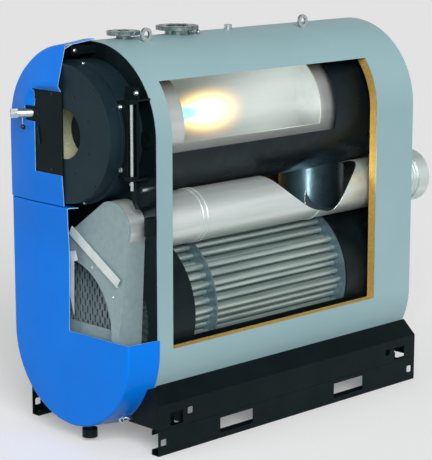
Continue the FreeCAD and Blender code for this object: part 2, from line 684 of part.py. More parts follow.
def scoop():
    """Side profile of the scoop, cut right across the pipe."""
    y0, z0 = cell("hood_front"), cell("flue_z")
    path = [(1075, 160), (1110, 110), (1244, 0), (1365, -60), (1455, -82), (1524, -88), (1558, -40),
            (1620, 40), (1717, 102), (1890, 160)]
    curve = Part.BSplineCurve()
    curve.interpolate([vec(0, y0 + y, z0 + z) for y, z in path])
    side_wire = Part.Wire([curve.toShape(), Part.makeLine(curve.EndPoint, curve.StartPoint)])
    piece = doc.addObject("Part::Feature", "scoop")
    piece.Shape = Part.Face(side_wire).extrude(vec(cell("casing_radius"), 0, 0))
    return piece


neck_clearance = cylinder("neck_clearance", "z", "neck_radius + 4", "500", "0", "neck_place",
                          "flue_z - 250")
node("flue_pipe", cut("flue_pipe_body", flue_tube, scoop(), neck_clearance))
socket_length = "socket_end - socket_start"
socket_body = cylinder("socket_outer", "y", "socket_radius", socket_length, "flue_x", "socket_start",
                       "flue_z")
socket_fit = cylinder("socket_fit", "y", "flue_radius", socket_length, "flue_x", "socket_start", "flue_z")
socket_mouth = cylinder("socket_mouth", "y", "socket_bore", "socket_end - flue_end", "flue_x", "flue_end",
                        "flue_z")
node("flue_socket", cut("flue_socket_body", socket_body, socket_fit, socket_mouth))

# --------------------------------------------------------------------------
# Flue-gas collector behind the lower hood
# --------------------------------------------------------------------------
def collector_front(z):
    """The collector's front leans: its y at height z."""
    low, high = cell("collector_foot"), cell("collector_arc_z") + cell("collector_arc")
    share = (z - low) / (high - low)
    lean = share * (cell("collector_top_y") - cell("collector_foot_y"))
    return cell("hood_front") + cell("collector_foot_y") + lean


def collector_solid(inset):
    """Trunk that narrows to the flue pipe at the upper right, with a leaning front."""
    x, z, radius = cell("flue_x"), cell("collector_arc_z"), cell("collector_arc") - inset
    foot, left = cell("collector_foot") + inset, cell("collector_left") + inset
    right, shoulder = cell("collector_right") - inset, cell("collector_shoulder") - inset
    far_y, back = cell("hood_front") - 100, cell("hood_front") + cell("casing_front")
    steep = math.atan2(z - cell("collector_shoulder"), x - cell("collector_left"))
    start = vec(x - radius * math.sin(steep), far_y, z + radius * math.cos(steep))
    half_way = (math.pi / 2 + steep) / 2
    top = vec(x + radius * math.cos(half_way), far_y, z + radius * math.sin(half_way))
    end = vec(x + radius, far_y, z)
    a, b, c = vec(right, far_y, foot), vec(left, far_y, foot), vec(left, far_y, shoulder)
    edges = [Part.Arc(start, top, end).toShape()]
    edges += [Part.makeLine(*pair) for pair in ((end, a), (a, b), (b, c), (c, start))]
    block = Part.Face(Part.Wire(edges)).extrude(vec(0, back - far_y, 0))
    low, high = 0, 1500
    front = [vec(-900, collector_front(low) + inset, low), vec(-900, collector_front(high) + inset, high),
             vec(-900, far_y - 50, high), vec(-900, far_y - 50, low)]
    wedge = Part.Face(Part.makePolygon(front + front[:1])).extrude(vec(1800, 0, 0))
    return block.cut(wedge)


def y_bar(radius, x, z, y, length):
    return Part.makeCylinder(radius, length, vec(x, cell("hood_front") + y, z), vec(0, 1, 0))


collector = collector_solid(0).cut(collector_solid(cell("collector_sheet")))
back_face = cell("hood_front") + cell("casing_front") - cell("collector_sheet")
open_back = Part.makeBox(2000, 100, 2000, vec(-1000, back_face, 0))
collector = collector.cut(open_back.common(collector_solid(cell("collector_sheet"))))
collector = collector.cut(y_bar(cell("inspection_radius"), cell("inspection_x"), cell("inspection_z"),
                                -40, 150))
collector = collector.cut(y_bar(cell("flue_radius"), cell("flue_x"), cell("flue_z"), cell("flue_front"),
                                300))
node("flue_collector", feature("flue_collector", collector))

grille_width, grille_foot = 2 * cell("grille_half"), cell("collector_foot") + cell("collector_sheet")
grille_corner = vec(-cell("grille_half"), cell("hood_front") + cell("grille_y"), grille_foot)
grille = Part.makeBox(grille_width, cell("grille_sheet"), cell("grille_top") - grille_foot, grille_corner)
grille = grille.common(collector_solid(cell("collector_sheet") + cell("grille_play")))
node("perforated_plate", feature("perforated_plate", grille))
tray_front = box("tray_front_plate", ("-grille_half", "tray_right"), ("tray_front", "tray_front + 3"),
                 ("collector_foot + collector_sheet", "tray_top"))
tray_end = box("tray_end", ("tray_right - 3", "tray_right"), ("tray_front - 12", "grille_y"),
               ("collector_foot + collector_sheet", "tray_top"))
node("condensate_tray", fuse("condensate_tray_body", tray_front, tray_end))


def strip():
    """Folded strip lying diagonally on the collector's leaning front."""
    length, width, rise = cell("strip_length"), cell("strip_width"), cell("strip_rise")
    gauge = cell("collector_sheet")
    angle = Part.makeBox(length, rise, gauge).fuse(Part.makeBox(length, gauge, width))
    tip_x, tip_z = cell("strip_tip_x"), cell("strip_tip_z")
    slope = math.degrees(math.atan2(tip_z - cell("strip_foot_z"), cell("strip_foot_x") - tip_x))
    angle.rotate(vec(), vec(0, 1, 0), slope)
    lean = math.degrees(math.atan2(cell("collector_top_y") - cell("collector_foot_y"),
                                   cell("collector_arc_z") + cell("collector_arc") - cell("collector_foot")))
    angle.rotate(vec(), vec(1, 0, 0), -lean)
    angle.translate(vec(tip_x, collector_front(tip_z) - rise - 1, tip_z))
    return angle


node("collector_strip", feature("collector_strip", strip()))

drain_pipe = cylinder("drain_pipe", "z", "drain_radius", "collector_foot - cap_top", "drain_x", "drain_y",
                      "cap_top")
drain_cap = cylinder("drain_cap", "z", "cap_radius", "cap_top - cap_foot", "drain_x", "drain_y", "cap_foot")
node("condensate_drain", fuse("condensate_drain_body", drain_pipe, drain_cap))

valve_body = cylinder("valve_body", "y", "valve_radius", "valve_back - valve_front", "valve_x",
                      "valve_front",
                      "valve_z")
valve_pin = cylinder("valve_pin", "x", "valve_pin", "valve_pin_length", "valve_x",
                     "(valve_front + valve_back) / 2", "valve_z + valve_pin")
valve_mouth = cylinder("valve_mouth", "y", "valve_mouth", "valve_mouth_depth", "valve_x + valve_mouth",
                       "valve_front", "valve_z - valve_mouth")
node("drain_valve", cut("drain_valve_body", fuse("drain_valve_whole", valve_body, valve_pin), valve_mouth))

# --------------------------------------------------------------------------
# Blue hood in two parts
# --------------------------------------------------------------------------
def obround_wire(radius, y):
    low, high = cell("lower_centre"), cell("upper_centre")
    y += cell("hood_front")
    right = Part.makeLine(vec(radius, y, low), vec(radius, y, high))
    top = Part.Arc(vec(radius, y, high), vec(0, y, high + radius), vec(-radius, y, high)).toShape()
    left = Part.makeLine(vec(-radius, y, high), vec(-radius, y, low))
    bottom = Part.Arc(vec(-radius, y, low), vec(0, y, low - radius), vec(radius, y, low)).toShape()
    return Part.Wire([right, top, left, bottom])


def hood_solid(inset, dome):
    """Tapered skirt and raised front, moved in by inset on every side."""
    back = cell("casing_front") + cell("hood_lap")
    skirt = Part.makeLoft([obround_wire(cell("hood_skirt_radius") - inset, back + (1 if inset else 0)),
                           obround_wire(cell("hood_radius") - inset, inset)], True, True)
    front = Part.makeLoft([obround_wire(cell("hood_radius") - inset, inset),
                           obround_wire(cell("dome_radius") - inset, inset - dome)], True, True)
    return skirt.fuse(front)


def hood_shell(dome):
    return hood_solid(0, dome).cut(hood_solid(cell("hood_sheet"), dome))


far = 2000


def block(x, z):
    return Part.makeBox(x[1] - x[0], far, z[1] - z[0], vec(x[0], cell("hood_front") - far / 2, z[0]))


half_gap = cell("seam_gap") / 2
seam = cell("hood_seam")
upper_hood = hood_shell(cell("upper_dome")).common(block((-far, 0), (seam + half_gap, 2 * far)))
upper_hood = upper_hood.cut(block((cell("burner_plate_left") - 1, far), (cell("burner_plate_foot") - 1,
                                                                       cell("burner_plate_top") + 1)))
upper_hood = upper_hood.cut(block((cell("sight_lug_left") - 1, cell("burner_plate_left")),
                                  (cell("sight_z") - cell("sight_lug_half") - 1,
                                   cell("sight_z") + cell("sight_lug_half") + 1)))
lower_shell = hood_shell(cell("lower_dome"))
lower_hood = lower_shell.common(block((-far, 0), (-far, seam - half_gap)))
lower_hood = lower_hood.fuse(lower_shell.common(block((-far, far), (-far, cell("hood_cut")))))
flange_top = seam - half_gap
flange_wide = cell("hood_radius") - cell("hood_sheet") - 1
lower_hood = lower_hood.fuse(Part.makeBox(flange_wide, cell("hood_flange"), cell("hood_sheet"),
                                          vec(-flange_wide, cell("hood_front"),
                                              flange_top - cell("hood_sheet"))))
cap_foot = vec(cell("drain_x"), cell("hood_front") + cell("drain_y"), -100)
lower_hood = lower_hood.cut(Part.makeCylinder(cell("cap_radius") + 2, 400, cap_foot))
lower_hood = lower_hood.cut(y_bar(cell("valve_notch"), cell("valve_x"), cell("valve_z"), 40, 400))
for name, shape in (("upper_hood", upper_hood), ("lower_hood", lower_hood)):
    piece = doc.addObject("Part::Feature", f"{name}_body")
    piece.Shape = shape.removeSplitter()
    node(name, piece)

# --------------------------------------------------------------------------
# Burner door
# --------------------------------------------------------------------------
drum = cut("drum", cylinder("drum_outer", "y", "door_radius", "door_back - door_front", "0", "door_front",
                            "door_axis"),
           cylinder("drum_inner", "y", "door_radius - door_sheet", "door_back - door_front", "0",
                    "door_front + door_sheet", "door_axis"))
burner_hole = cylinder("burner_hole", "y", "burner_bore", "400", "0", "door_front - 50", "door_axis")
drum_flange = ring("drum_flange", "y", "door_flange_radius", "door_radius - door_sheet", "door_flange", "0",
                   "door_back", "door_axis")
node("door_drum", cut("door_drum_body", fuse("drum_and_flange", drum, drum_flange), burner_hole))
lining = fuse("lining_block",
              cylinder("lining_disc", "y", "door_radius - door_sheet",
                       "door_back + door_flange - door_front - door_sheet", "0", "door_front + door_sheet",
                       "door_axis"),
              cylinder("lining_plug", "y", "plug_radius", "plug_depth", "0", "door_back + door_flange",
                       "door_axis"))
node("door_lining", cut("door_lining_body", lining,
                        cylinder("lining_bore", "y", "burner_bore", "400", "0", "door_front - 50",
                                 "door_axis")))
plate_panel = box("plate_panel", ("burner_plate_left", "0"), ("burner_plate_y", "door_front"),
                  ("burner_plate_foot", "burner_plate_top"))
plate_lug = box("plate_lug", ("sight_lug_left", "burner_plate_left"), ("burner_plate_y", "door_front"),
                ("sight_z - sight_lug_half", "sight_z + sight_lug_half"))
node("burner_plate", fuse("burner_plate_body", plate_panel, plate_lug))


def sight_tube():
    """Inspection tube: turned outwards from the burner's axis, with a hexagonal end."""
    radius, length, nut_length = cell("sight_radius"), cell("sight_length"), cell("sight_nut")
    bore = Part.makeCylinder(radius - cell("sight_wall"), length)
    corner = cell("sight_nut_corner")
    angles = [math.radians(60 * k) for k in range(6)]
    hexagon = [vec(corner * math.cos(angle), corner * math.sin(angle),
                   length - nut_length) for angle in angles]
    nut = Part.Face(Part.makePolygon(hexagon + hexagon[:1])).extrude(vec(0, 0, nut_length))
    return Part.makeCylinder(radius, length).fuse(nut).cut(bore)


sight = sight_tube()
sight.rotate(vec(), vec(1, 0, 0), 90)
sight.rotate(vec(), vec(0, 0, 1), -cell("sight_turn"))
sight.translate(vec(cell("sight_x"), cell("hood_front") + cell("sight_y"), cell("sight_z")))
behind = 400
behind_corner = vec(-1.25 * behind, cell("hood_front") + cell("burner_plate_y"),
                    cell("sight_z") - behind / 2)
behind_plate = Part.makeBox(behind, behind, behind, behind_corner)
node("sight_tube", feature("sight_tube", sight.cut(behind_plate)))

lever = Part.makeCylinder(cell("lever_radius"), cell("lever_length"),
                          vec(0, 0, -cell("sight_radius") - cell("lever_length")))
lever = lever.fuse(Part.makeSphere(cell("knob_radius"),
                                   vec(0, 0, -cell("sight_radius") - cell("lever_length"))))
reach = cell("lever_place")
turn = math.radians(cell("sight_turn"))
lever.translate(vec(cell("sight_x") - reach * math.sin(turn),
                    cell("hood_front") + cell("sight_y") - reach * math.cos(turn), cell("sight_z")))
node("sight_lever", feature("sight_lever", lever))

node("door_seat", ring("door_seat_body", "y", "door_seat_radius", "furnace_radius",
                       "casing_front - door_back - door_flange - seat_gap", "0",
                       "door_back + door_flange + seat_gap", "furnace_axis"))


def plate(name, x, y, low):
    """A horizontal plate as thick as the hinge ears."""
    return box(name, x, y, (low, f"{low} + ear_thickness"))


# moving leaf: an upright plate on the drum with an ear at its top and foot
low_ear, high_ear = "hinge_foot + ear_thickness + 1", "hinge_top - 2 * ear_thickness - 1"
leaf = box("leaf_web", ("leaf_left", "leaf_right"), ("door_back", "door_back + door_flange"),
           (low_ear, f"{high_ear} + ear_thickness"))
ears = [plate(f"leaf_ear_{end}", ("leaf_left", "pin_x + ear_reach"),
              ("pin_y - ear_reach", "pin_y + ear_reach"),
              low) for end, low in (("low", low_ear), ("high", high_ear))]
leaf_flange = cylinder("leaf_flange", "y", "door_flange_radius", "200", "0", "door_front", "door_axis")
leaf_bore = cylinder("leaf_bore", "z", "pin_radius + pin_clearance", "hinge_top - hinge_foot", "pin_x",
                     "pin_y",
                     "hinge_foot")
node("hinge_leaf", cut("hinge_leaf_body", fuse("leaf_whole", leaf, *ears), leaf_flange, leaf_bore))

# fixed side: two brackets on the front plate, the pin and the post between them
for name, low in (("hinge_bracket_lower", "hinge_foot"),
                  ("hinge_bracket_upper", "hinge_top - ear_thickness")):
    whole = plate(f"{name}_plate", ("bracket_left", "bracket_right"),
                  ("pin_y - ear_reach", "casing_front"), low)
    if name == "hinge_bracket_upper":
        wide = ("bracket_left - bracket_wing", "bracket_right")
        upright = box("bracket_ear", wide, ("post_front - 4", "post_front + 2"),
                      ("hinge_top", "hinge_top + bracket_ear"))
        wing = plate("bracket_wing", wide, ("post_front - 4", "casing_front"), low)
        whole = fuse(f"{name}_whole", whole, upright, wing)
    node(name, cut(f"{name}_body", whole,
                   cylinder(f"{name}_bore", "z", "pin_radius", "ear_thickness", "pin_x", "pin_y", low)))
node("hinge_pin", cylinder("hinge_pin_body", "z", "pin_radius", "hinge_top - hinge_foot + pin_tail",
                           "pin_x", "pin_y",
                           "hinge_foot - pin_tail"))
node("hinge_post", box("hinge_post_body", ("post_left", "post_right"),
                       ("post_front", "post_front + post_depth"),
                       ("hinge_foot + ear_thickness", "hinge_top - ear_thickness")))


def door_stay():
    """Bent strap from the lower bracket down and back to the front plate."""
    x, y = cell("stay_x"), cell("hood_front")
    gauge, knee, foot = cell("stay_gauge"), cell("stay_knee"), cell("stay_foot")
    top, front, back = cell("hinge_foot"), cell("stay_front"), cell("casing_front")
    outside = [(front, top), (front + 18, knee), (front + 32, foot + 6), (back - 28, foot), (back, foot)]
    inside = [(back, foot - gauge), (back - 32, foot - gauge), (front + 22, foot - 4),
              (front + 5, knee - 4),
              (front - gauge, top)]
    corners = [vec(x, y + depth, z) for depth, z in outside + inside]
    return Part.Face(Part.makePolygon(corners + corners[:1])).extrude(vec(cell("stay_width"), 0, 0))


node("door_stay", feature("door_stay", door_stay()))
node("hinge_adjuster", cylinder("hinge_adjuster_body", "y", "adjuster_radius",
                                "casing_front - post_front - post_depth", "adjuster_x",
                                "post_front + post_depth",
                                "adjuster_z"))
ear_disc = cylinder("ear_disc", "y", "ear_radius", "10", "ear_x", "casing_front - 10", "ear_z")
node("front_ear", cut("front_ear_body", ear_disc,
                      cylinder("front_ear_bore", "y", "ear_bore", "10", "ear_x", "casing_front - 10",
                               "ear_z"),
                      cylinder("front_ear_seat", "y", "door_seat_radius", "10", "0", "casing_front - 10",
                               "furnace_axis")))
node("hood_bracket", box("hood_bracket_body", ("bracket_x", "bracket_x + 12"),
                         ("bracket_y", "casing_front"),
                         ("bracket_z", "bracket_z + bracket_height")))

# --------------------------------------------------------------------------
# Fittings on top
# --------------------------------------------------------------------------
def nozzle(name, i):
    """Flanged water connection: a neck on the vessel and a drilled flange."""
    foot = "upper_vessel_axis + upper_vessel_radius - 20"
    tube = ring(f"{name}_tube", "z", f"nozzle_{i}_neck", f"nozzle_{i}_neck - nozzle_wall",
                f"nozzle_{i}_top - ({foot})", "0", f"nozzle_{i}_y", foot)
    flange = ring(f"{name}_flange", "z", f"nozzle_{i}_flange", f"nozzle_{i}_neck - nozzle_wall",
                  "flange_thickness", "0", f"nozzle_{i}_y", f"nozzle_{i}_top - flange_thickness")
    bolts = []
    count = int(cell(f"nozzle_{i}_bolts"))
    for k in range(count):
        angle = math.radians((k + 0.5) * 360 / count)
        bolts.append(cylinder(f"{name}_bolt_{k}", "z", "bolt_hole", "flange_thickness",
                              f"nozzle_{i}_circle * {math.cos(angle):.6f}",
                              f"nozzle_{i}_y + nozzle_{i}_circle * {math.sin(angle):.6f}",
                              f"nozzle_{i}_top - flange_thickness"))
    clear = cylinder(f"{name}_vessel", "y", "upper_vessel_radius", "600", "0", f"nozzle_{i}_y - 300",
                     "upper_vessel_axis")
    return node(name, cut(f"{name}_body", fuse(f"{name}_whole", tube, flange), clear, *bolts))


nozzle("return_flange", 1)
nozzle("supply_flange", 2)
node("sensor_nipple", cut("sensor_nipple_body",
                          ring("nipple_tube", "z", "nozzle_3_neck", "nozzle_3_neck - nozzle_wall",
                               "nozzle_3_top - (upper_vessel_axis + upper_vessel_radius - 20)", "0",
                               "nozzle_3_y",
                               "upper_vessel_axis + upper_vessel_radius - 20"),
                          cylinder("nipple_vessel", "y", "upper_vessel_radius", "600", "0",
                                   "nozzle_3_y - 300", "upper_vessel_axis")))
for end in ("front", "rear"):
    disc = cylinder(f"eye_{end}_disc", "x", "eye_radius", "eye_plate", "eye_x - eye_plate / 2",
                    f"eye_{end}_y", "eye_z")
    hole = cylinder(f"eye_{end}_hole", "x", "eye_bore", "eye_plate", "eye_x - eye_plate / 2",
                    f"eye_{end}_y", "eye_z")
    vessel_top = cylinder(f"eye_{end}_vessel", "y", "upper_vessel_radius", "4 * eye_stem", "0",
                          f"eye_{end}_y - 2 * eye_stem", "upper_vessel_axis")
    whole = fuse(f"eye_{end}_whole", disc, eye_stem(f"eye_{end}_stem", end, "0"))
    node(f"lifting_eye_{end}", cut(f"lifting_eye_{end}_body", whole, hole, vessel_top))

vent_y, vent_z = cell("hood_front") + cell("nozzle_2_y"), cell("vent_z")
aside = math.sqrt(0.5)
vent = Part.makeCylinder(cell("vent_pipe"), cell("vent_reach") - cell("nozzle_2_neck"),
                         vec(aside * cell("nozzle_2_neck"), vent_y + aside * cell("nozzle_2_neck"), vent_z),
                         vec(1, 1, 0))
vent_out = aside * cell("vent_reach")
vent = vent.fuse(Part.makeSphere(cell("vent_ball"), vec(vent_out, vent_y + vent_out, vent_z)))
vent = vent.cut(Part.makeCylinder(cell("nozzle_2_neck"), 400, vec(0, vent_y, vent_z - 200)))
node("vent_cock", feature("vent_cock", vent))

# --------------------------------------------------------------------------
# Check and write every sub-part
# --------------------------------------------------------------------------
doc.recompute()
for item in doc.Objects:
    if "Invalid" in item.State or "Error" in item.State:
        raise RuntimeError(f"{item.Name} failed: {item.State}")
for piece in nodes:
    if piece.Shape.isNull() or not piece.Shape.isValid() or not piece.Shape.Solids:
        raise RuntimeError(f"{piece.Label} is not a valid solid")
for piece in nodes:
    piece.Shape.exportStep(f"parts/{piece.Label}.step")
    box_of = piece.Shape.BoundBox
    print(f"{piece.Label:22s} solids {len(piece.Shape.Solids):3d}  {piece.Shape.Volume / 1e6:8.3f} dm3  "
          f"x {box_of.XMin:7.1f} {box_of.XMax:7.1f}  y {box_of.YMin:8.1f} {box_of.YMax:8.1f}  "
          f"z {box_of.ZMin:7.1f} {box_of.ZMax:7.1f}")
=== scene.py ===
# %% [markdown]
# # A cut-open industrial boiler
# This script dresses a imported CAD model of a boiler that is shown cut open: a furnace above, a
# bundle of fire tubes below, a flue pipe between them, and a hinged burner door behind a blue hood.
# The CAD gives the main sizes and places, and this file gives the looks. Small things that the CAD
# leaves out, such as screws, a hook and a blade, are placed one by one against its pieces. Everything is
# in metres, x to the right, y to the back and z up.

# %% Load the frame
import json
import math

import bmesh
import bpy
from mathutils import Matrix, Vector
from mathutils.bvhtree import BVHTree

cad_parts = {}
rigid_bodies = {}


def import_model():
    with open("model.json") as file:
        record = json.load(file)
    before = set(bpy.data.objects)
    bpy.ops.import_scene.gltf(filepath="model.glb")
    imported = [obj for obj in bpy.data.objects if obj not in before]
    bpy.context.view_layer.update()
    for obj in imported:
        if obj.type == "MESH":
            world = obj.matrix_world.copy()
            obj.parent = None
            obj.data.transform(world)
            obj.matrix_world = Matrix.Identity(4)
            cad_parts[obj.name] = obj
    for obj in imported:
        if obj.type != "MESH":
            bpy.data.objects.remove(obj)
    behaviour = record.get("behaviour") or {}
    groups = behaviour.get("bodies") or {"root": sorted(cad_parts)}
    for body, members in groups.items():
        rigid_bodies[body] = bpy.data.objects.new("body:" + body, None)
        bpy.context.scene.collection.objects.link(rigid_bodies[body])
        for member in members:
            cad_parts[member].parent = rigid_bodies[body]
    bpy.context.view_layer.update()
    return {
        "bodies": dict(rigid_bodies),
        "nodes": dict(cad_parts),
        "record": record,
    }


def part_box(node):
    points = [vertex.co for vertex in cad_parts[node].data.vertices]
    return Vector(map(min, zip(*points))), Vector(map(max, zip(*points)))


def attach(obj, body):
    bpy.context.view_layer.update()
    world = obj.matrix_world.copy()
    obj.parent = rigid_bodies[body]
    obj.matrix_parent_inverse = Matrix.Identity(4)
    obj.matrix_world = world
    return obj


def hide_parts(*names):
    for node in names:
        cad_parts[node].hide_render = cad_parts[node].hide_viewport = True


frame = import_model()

nodes = frame["nodes"]
MM = 0.001
print("pieces in the frame:", len(nodes))

# %% [markdown]
# ## Camera
# The machine is seen from its front right corner, a little from above, through a long lens that
# keeps its upright edges nearly parallel. The camera could be placed by its own coordinates, but an
# aim point, a distance and two angles are easier to change one at a time.

# %% Camera
AIM = Vector((0.1824, -0.2637, 0.9675))
DISTANCE = 9.0
YAW = math.radians(45.61)
PITCH = math.radians(11.61)

lens = bpy.data.cameras.new("camera")
lens.lens = 139.64
camera = bpy.data.objects.new("camera", lens)
forward = Vector((-math.sin(YAW) * math.cos(PITCH), math.cos(YAW) * math.cos(PITCH), -math.sin(PITCH)))
camera.location = AIM - DISTANCE * forward
camera.rotation_euler = (math.pi / 2 - PITCH, 0, YAW)
bpy.context.scene.collection.objects.link(camera)
bpy.context.scene.camera = camera
print("camera at", [round(v, 3) for v in camera.location])

# %% [markdown]
# ## Colours and nodes
# Paint is described here by its sRGB hex colour, as a paint card gives it, while the renderer works
# in linear light, so one function turns one into the other. A second one adds a node with its
# settings and its wires, which keeps each finish below a short list of what it is made of. The last
# one, coated, holds the three things that nearly every finish here shares: a colour that drifts a
# little, a gloss that isn't even, and a fine relief.

# %% Helpers for materials
def linear(code):
    """An sRGB hex colour as linear RGBA."""
    parts = [int(code[i:i + 2], 16) / 255 for i in (0, 2, 4)]
    return tuple(p / 12.92 if p <= 0.04045 else ((p + 0.055) / 1.055) ** 2.4 for p in parts) + (1.0,)


def add(tree, kind, inputs=None, **settings):
    """Adds a node; a socket or a list of sockets is wired to an input, any other value is set on it."""
    node = tree.nodes.new(kind)
    for name, value in settings.items():
        setattr(node, name, value)
    for socket, value in (inputs or {}).items():
        wires = value if isinstance(value, list) else [value]
        if isinstance(wires[0], bpy.types.NodeSocket):
            for wire in wires:
                tree.links.new(wire, node.inputs[socket])
        else:
            node.inputs[socket].default_value = value
    return node


def material(name, **shader):
    """A new material, its tree and its shader; uniform values go straight onto the shader's sockets."""
    made = bpy.data.materials.new(name)
    made.use_nodes = True
    principled = made.node_tree.nodes["Principled BSDF"]
    for socket, value in shader.items():
        principled.inputs[socket.replace("_", " ")].default_value = value
    return made, made.node_tree, principled


def clouds(tree, size, low, high, stretch=(1, 1, 1)):
    """Soft noise of that size in metres, spread from low to high; a small stretch draws it out that way."""
    place = add(tree, "ShaderNodeTexCoord").outputs["Object"]
    drawn = add(tree, "ShaderNodeMapping", {"Vector": place, "Scale": stretch}).outputs["Vector"]
    noise = add(tree, "ShaderNodeTexNoise", {"Vector": drawn, "Scale": 1 / size,
                                             "Detail": 3.0}).outputs["Fac"]
    spread = {"Value": noise, "From Min": 0.3, "From Max": 0.7, "To Min": low, "To Max": high}
    return add(tree, "ShaderNodeMapRange", spread).outputs["Result"]


def coated(name, dark, light, patch, rough, grain, depth, stretch=(1, 1, 1), **shader):
    """A finish whose colour drifts from dark to light over a patch, whose roughness lies between
    rough's two values, and whose relief has that grain and depth. All sizes are in metres."""
    made, tree, principled = material(name, **shader)
    drift = clouds(tree, patch, 0, 1, stretch)
    tint = add(tree, "ShaderNodeMix", {0: drift, 6: linear(dark), 7: linear(light)}, data_type="RGBA")
    tree.links.new(tint.outputs[2], principled.inputs["Base Color"])
    tree.links.new(clouds(tree, patch / 3, rough[0], rough[1], stretch), principled.inputs["Roughness"])
    bump = add(tree, "ShaderNodeBump", {"Height": clouds(tree, grain, 0, 1, stretch), "Distance": depth})
    tree.links.new(bump.outputs["Normal"], principled.inputs["Normal"])
    return made


print("material helpers ready")

# %% [markdown]
# ## Painted sheet and plate
# The casing and the hood are powder coat: dry paint melted onto sheet steel, which flows into a
# satin skin with a faint orange peel of a few millimetres. The vessels and the base are brushed or
# sprayed black, rougher and more clouded. A picture of paint could be wrapped on, but noise in
# object coordinates keeps its true scale on every piece and has no seams.

# %% Painted finishes
# Black paint here has a cool tint in its reflections, a painted reflection colour such as dark enamel shows
# under a north sky.
COOL = (0.55, 0.88, 1.0, 1.0)
# Satin powder coat, grey-blue: even colour, wide soft highlights.
casing_coat = coated("casing_coat", "8EAFB4", "96B6BB", 0.6, (0.4, 0.48), 0.005, 0.00003)
# Gloss powder coat, deep blue: tighter highlights than the casing's.
hood_coat = coated("hood_coat", "0075E4", "007FF0", 0.5, (0.3, 0.38), 0.005, 0.00003,
                   Specular_IOR_Level=0.2)
# The cut rim of the hood's shell is a paler blue: a painted highlight along its cut edges.
hood_rim = coated("hood_rim", "6FB4F4", "94CCFA", 0.03, (0.45, 0.6), 0.002, 0.0001)
# Black enamel on boiler plate: glossy where it has run, duller where it dried.
vessel_enamel = coated("vessel_enamel", "070D10", "0E171B", 0.16, (0.26, 0.42), 0.008, 0.00012,
                       Specular_IOR_Level=0.25, Specular_Tint=COOL)
# Dark slate enamel on the burner door's flat face.
door_enamel = coated("door_enamel", "14232A", "1B2B32", 0.2, (0.4, 0.52), 0.006, 0.00005,
                     Specular_IOR_Level=0.2, Specular_Tint=COOL)
# Satin black powder coat on the rails and brackets.
frame_coat = coated("frame_coat", "070E10", "0D1618", 0.25, (0.4, 0.52), 0.004, 0.00003,
                    Specular_IOR_Level=0.12, Specular_Tint=COOL)
# Phenolic-black knob, moulded and polished.
knob_black = coated("knob_black", "0A0C0D", "15181A", 0.01, (0.1, 0.2), 0.002, 0.00001)
print("painted finishes:", len([m for m in bpy.data.materials if m.name.endswith(("coat", "enamel"))]))

# %% [markdown]
# ## Bare metal
# Stainless pipe is polished along its length in drawing, so its streaks run with it; plate and
# folded sheet keep the mill's cloudy bloom; turned flanges are darker forged steel; screws are zinc
# plated. Metal keeps the shader's own index of refraction, and its look comes from roughness and
# from streaks stretched along the way it was worked.

# %% Metal finishes
ALONG_Y = (1, 0.06, 1)
PIPE_INSIDE = 131.5 * MM      # a radius within the pipe's sheet, which parts its inside from its outside
PIPE_METALLIC = 0.6


def radius_from(tree, centre):
    """How far a point is from an axis along y through the centre."""
    place = add(tree, "ShaderNodeTexCoord").outputs["Object"]
    offset = add(tree, "ShaderNodeVectorMath", {0: place, 1: centre}, operation="SUBTRACT").outputs["Vector"]
    across = add(tree, "ShaderNodeVectorMath", {0: offset, 1: (1, 0, 1)},
                 operation="MULTIPLY").outputs["Vector"]
    return add(tree, "ShaderNodeVectorMath", {0: across}, operation="LENGTH").outputs["Value"]


# Polished stainless flue pipe, drawn along y.
pipe_steel = coated("pipe_steel", "CEDAD7", "E4EDEB", 0.05, (0.3, 0.4), 0.006, 0.00003, ALONG_Y,
                    Metallic=PIPE_METALLIC)
# Inside, the pipe is painted dark grey and not metallic, as painted shade; the inside is picked by the
# distance from its axis.
pipe_low, pipe_high = (Vector(corner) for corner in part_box("flue_pipe"))
pipe_centre = (pipe_low + pipe_high) / 2
pipe_tree = pipe_steel.node_tree
pipe_shader = pipe_tree.nodes["Principled BSDF"]
bore = add(pipe_tree, "ShaderNodeMath", {0: radius_from(pipe_tree, pipe_centre), 1: PIPE_INSIDE},
           operation="LESS_THAN").outputs[0]
polished = pipe_shader.inputs["Base Color"].links[0].from_socket
metal = (PIPE_METALLIC, PIPE_METALLIC, PIPE_METALLIC, 1.0)
for socket, outer, inner in (("Base Color", polished, linear("141B1E")),
                             ("Metallic", metal, (0.0, 0.0, 0.0, 1.0))):
    mixed = add(pipe_tree, "ShaderNodeMix", {0: bore, 6: outer, 7: inner}, data_type="RGBA")
    pipe_tree.links.new(mixed.outputs[2], pipe_shader.inputs[socket])
# Pickled stainless fire tubes: paler and duller.
tube_pickled = coated("tube_pickled", "97ABA6", "C2D2CE", 0.03, (0.28, 0.38), 0.005, 0.00002, ALONG_Y,
                      Metallic=0.75)
# Mill-finish plate of the tube plates and the baffle, blue-grey.
mill_plate = coated("mill_plate", "556B73", "6E858D", 0.09, (0.34, 0.5), 0.006, 0.00006,
                    Metallic=0.5)
# Folded grey sheet of the flue collector, with fine speckle.
folded_sheet = coated("folded_sheet", "8A9FA2", "94A9AB", 0.03, (0.4, 0.5), 0.003, 0.00002,
                      Metallic=0.2)
# Forged and turned flanges.
forged_steel = coated("forged_steel", "5B6B6E", "8C9C9E", 0.02, (0.22, 0.34), 0.003, 0.00004,
                      Metallic=0.95)
# Zinc plating on screws, pins and valves.
zinc_plate = coated("zinc_plate", "A9B4B6", "D0D8D8", 0.006, (0.22, 0.36), 0.002, 0.00003,
                    Metallic=1.0)
# Painted light: a paler copy of the collector's grey sheet, for the faces of the folded strip and blade that
# catch the light.
bright_sheet = coated("bright_sheet", "C9D6D5", "DDE8E6", 0.05, (0.4, 0.5), 0.003, 0.00002,
                      Metallic=0.15)
print("metal finishes made")

